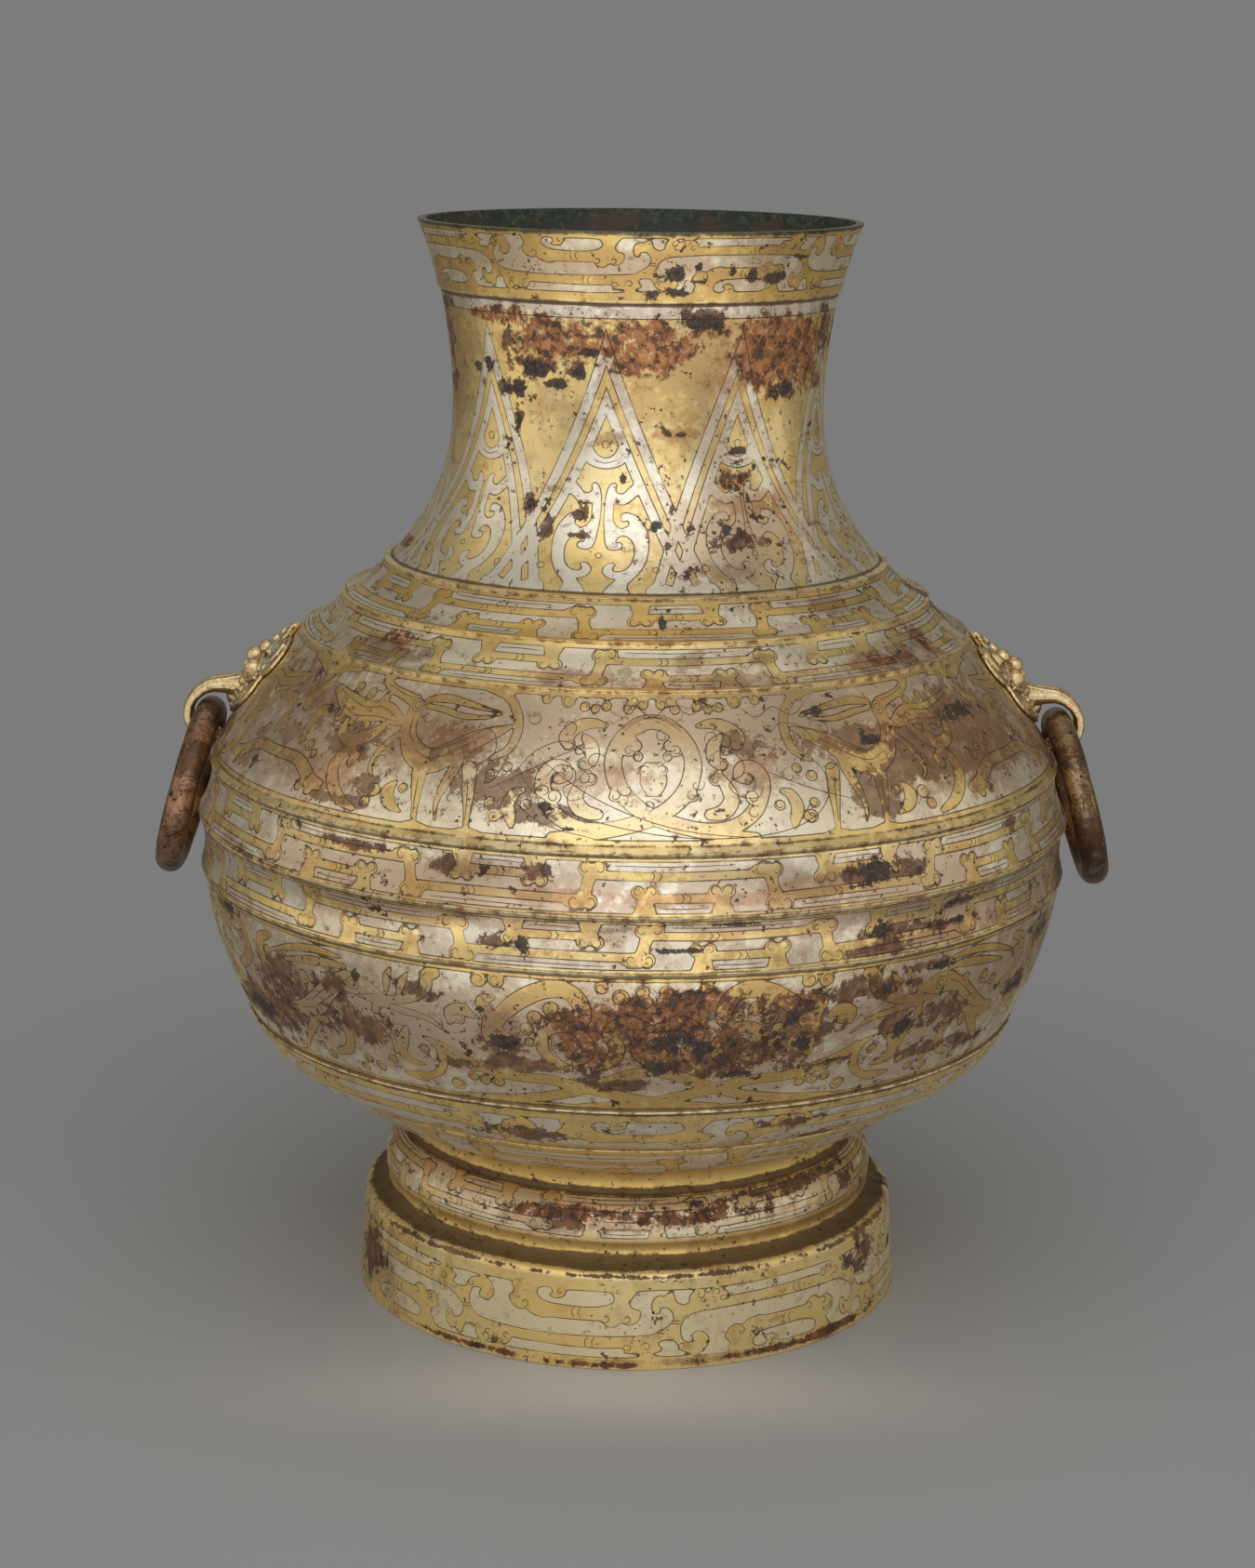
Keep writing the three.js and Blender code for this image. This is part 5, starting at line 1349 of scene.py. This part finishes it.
def sculpted(side, sign):
    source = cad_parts[side + "_mask"].data
    cast = np.empty(len(source.vertices) * 3)
    source.vertices.foreach_get("co", cast)
    points = [cast.reshape(-1, 3)]
    faces = [list(polygon.vertices) for polygon in source.polygons]
    clay = mask_clay()
    base = len(source.vertices)
    points += [part * [sign * MM, sign * MM, MM] for part in clay.points]
    faces += [[k + base for k in face] for face in clay.faces]
    mesh = bpy.data.meshes.new(side + "_mask_sculpted")
    mesh.from_pydata(np.concatenate(points), [], faces)
    thing = bpy.data.objects.new(side + "_mask_sculpted", mesh)
    bpy.context.scene.collection.objects.link(thing)
    remesh = thing.modifiers.new("remesh", "REMESH")
    remesh.mode = "VOXEL"
    remesh.voxel_size = MASK_VOXEL
    remesh.use_smooth_shade = True
    smooth = thing.modifiers.new("smooth", "SMOOTH")
    smooth.iterations = 3
    smooth.factor = 0.5
    bpy.context.view_layer.update()
    evaluated = thing.evaluated_get(bpy.context.evaluated_depsgraph_get())
    made = bpy.data.meshes.new_from_object(evaluated)
    thing.modifiers.clear()
    thing.data = made
    made.materials.clear()
    return thing


for side, sign, green_from in (("right", 1, 0.66), ("left", -1, 0.56)):
    mask = sculpted(side, sign)
    mask.data.materials.append(mask_gilding(side + "_mask_gilding", green_from))
    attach(mask, "jar")
    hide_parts(side + "_mask")


# Rings: round rod, a little thinner and flatter where it has worn in the strap. They hang from the hinge in
# the strap, and RING_LEAN keeps them just clear of the belly at rest.
HINGE = (178.059, 0.0, 243.816)
RING_MEAN, RING_ROD, ROD_INSET = 32.5, 6.0, 0.12
WEAR_DEPTH, WEAR_REACH = 0.35, 0.22
RING_LEAN = math.radians(15.3)


def ring_mesh(name, side):
    around, across = 240, 48
    turn = np.arange(around)[:, None] * TAU / around
    cross = np.arange(across)[None, :] * TAU / across
    wear = WEAR_DEPTH * np.exp(-(((turn + math.pi) % TAU - math.pi) / WEAR_REACH) ** 2)
    lumps = 0.07 * np.sin(5 * turn + 1.3) * np.cos(2 * cross) + 0.05 * np.sin(11 * turn + 2 * cross + side)
    rod = RING_ROD - ROD_INSET - wear * (np.cos(cross) > 0) + lumps
    reach = RING_MEAN + rod * -np.cos(cross)
    sideways = rod * np.sin(cross) + 0 * turn
    flat = np.stack([sideways, reach * np.sin(turn), reach * np.cos(turn) - RING_MEAN], 2)
    c, s = math.cos(RING_LEAN), math.sin(RING_LEAN)
    x = flat[..., 0] * c - flat[..., 2] * s
    z = flat[..., 0] * s + flat[..., 2] * c
    points = np.stack([side * (HINGE[0] + x), side * flat[..., 1], HINGE[2] + z], 2)
    i, j = np.meshgrid(np.arange(around), np.arange(across), indexing="ij")
    a, b = (i + 1) % around, (j + 1) % across
    faces = np.stack([i * across + j, a * across + j, a * across + b, i * across + b], 2)
    thing = mesh_of(name, points.reshape(-1, 3), faces.reshape(-1, 4))
    unwrap(thing.data, np.stack([i, i + 1, i + 1, i], 2) / around, np.stack([j, j, j + 1, j + 1], 2) / across)
    return thing


for side, sign, wear_and_sheen in (("right", 1, (0.45, 0.31, 0.16)), ("left", -1, (0.50, 0.28, 0.17))):
    ring = ring_mesh(side + "_ring_worn", sign)
    ring.data.materials.append(ring_bronze(side + "_ring_bronze", wear_and_sheen))
    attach(ring, side + "_ring")
    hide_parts(side + "_ring")


# Studio: grey of the backdrop, the room's dim light, and the pool of light that the gilding throws on the
# floor in front of the foot
GREY, ROOM = 0.202, (0.170, 0.160, 0.140)
POOL_SIZE, POOL_AHEAD = (0.115, 0.034), 0.138
# The floor ends softly between these distances, where it meets the backdrop
FLOOR_FADE = (0.24, 0.62)


def floor_sheet():
    bpy.ops.mesh.primitive_plane_add(size=6.0, location=(0, 0, -0.0002))
    sheet = bpy.context.object
    sheet.name = "floor"
    s = Shader("floor_grey")
    split = s.node("ShaderNodeSeparateXYZ")
    s.put(split.inputs[0], s.place)
    x, y = split.outputs[0], split.outputs[1]
    far = s.math("SQRT", s.math("ADD", s.times(x, x), s.times(y, y)))
    ahead = s.math("ADD", y, POOL_AHEAD)
    shares = [s.math("DIVIDE", reach, size) for reach, size in zip((x, ahead), POOL_SIZE)]
    squares = [s.math("POWER", share, 2.0) for share in shares]
    pool = s.math("EXPONENT", s.times(s.math("ADD", *squares), -1.0))
    s.finish(s.mix(pool, (0.393, 0.403, 0.424), (0.585, 0.572, 0.56)), 0.9, 0.0)
    s.bsdf.inputs["Specular IOR Level"].default_value = 0.1
    clear = s.node("ShaderNodeBsdfTransparent")
    mixed = s.node("ShaderNodeMixShader")
    s.put(mixed.inputs[0], s.step(far, *FLOOR_FADE))
    s.put(mixed.inputs[1], s.bsdf.outputs[0])
    s.put(mixed.inputs[2], clear.outputs[0])
    out = [n for n in s.tree.nodes if n.type == "OUTPUT_MATERIAL"][0]
    s.put(out.inputs[0], mixed.outputs[0])
    sheet.data.materials.append(s.material)


floor_sheet()
world = bpy.data.worlds.new("studio")
bpy.context.scene.world = world
world.use_nodes = True
nodes, links = world.node_tree.nodes, world.node_tree.links
nodes.clear()
seen = nodes.new("ShaderNodeBackground")
seen.inputs[0].default_value = (GREY, GREY, GREY, 1)
room = nodes.new("ShaderNodeBackground")
room.inputs[0].default_value = (*ROOM, 1)
path = nodes.new("ShaderNodeLightPath")
chosen = nodes.new("ShaderNodeMixShader")
world_out = nodes.new("ShaderNodeOutputWorld")
links.new(path.outputs["Is Camera Ray"], chosen.inputs[0])
links.new(room.outputs[0], chosen.inputs[1])
links.new(seen.outputs[0], chosen.inputs[2])
links.new(chosen.outputs[0], world_out.inputs[0])


# Lamps face the jar's middle. Angles are seen from there, azimuth 0 on the viewer's side.
JAR_MIDDLE = Vector((0, 0, 0.22))


def softbox(name, azimuth, elevation, distance, width, height, radiance, colour=(1, 1, 1)):
    light = bpy.data.lights.new(name, "AREA")
    light.shape = "RECTANGLE"
    light.size, light.size_y = width, height
    light.energy = radiance * math.pi * width * height
    light.color = colour
    thing = bpy.data.objects.new(name, light)
    a, e = math.radians(azimuth), math.radians(elevation)
    towards = Vector((math.sin(a) * math.cos(e), -math.cos(a) * math.cos(e), math.sin(e)))
    at = towards * distance + JAR_MIDDLE
    thing.location = at
    thing.rotation_euler = (JAR_MIDDLE - at).to_track_quat("-Z", "Y").to_euler()
    bpy.context.scene.collection.objects.link(thing)
    return thing


WARM = (1.0, 0.93, 0.79)
# Name, azimuth, elevation, distance, width, height, radiance and colour
softbox("key", 0, 37, 2.0, 2.6, 1.95, 1.22)
softbox("front", 0, -4, 2.6, 2.6, 1.0, 0.82)
softbox("left", -76, 13, 2.0, 2.1, 2.4, 0.58, WARM)
softbox("right", 77, 14, 2.0, 2.0, 2.4, 0.52, WARM)
softbox("top", 180, 80, 1.9, 2.2, 1.5, 0.5)
softbox("back", 180, 25, 2.4, 2.0, 1.2, 0.12)
# A low sheet of light in front that shines upwards, as the lit floor does
bounce = softbox("bounce", 0, -90, 0.214, 2.2, 0.75, 0.90)
bounce.location.y = -0.73
bounce.rotation_euler = (math.pi, 0, 0)

# Camera, fitted to the ellipses of the rim, ridges and foot
LENS, PITCH, ROLL = 71.66, 13.297, 0.776
CAMERA_PLACE = (-0.0023, -1.28375, 0.5182)
scene = bpy.context.scene
scene.view_settings.view_transform = "Standard"
camera = bpy.data.cameras.new("camera")
camera.lens = LENS
camera.sensor_width = 36
camera.clip_start, camera.clip_end = 0.05, 20
camera_thing = bpy.data.objects.new("camera", camera)
scene.collection.objects.link(camera_thing)
pitch, roll = math.radians(PITCH), math.radians(ROLL)
right, upward = Vector((1, 0, 0)), Vector((0, math.sin(pitch), math.cos(pitch)))
tilted_right = right * math.cos(roll) + upward * math.sin(roll)
tilted_up = upward * math.cos(roll) - right * math.sin(roll)
turned_to = Matrix((tilted_right, tilted_up, tilted_right.cross(tilted_up))).transposed()
camera_thing.matrix_world = Matrix.Translation(CAMERA_PLACE) @ turned_to.to_4x4()
scene.camera = camera_thing
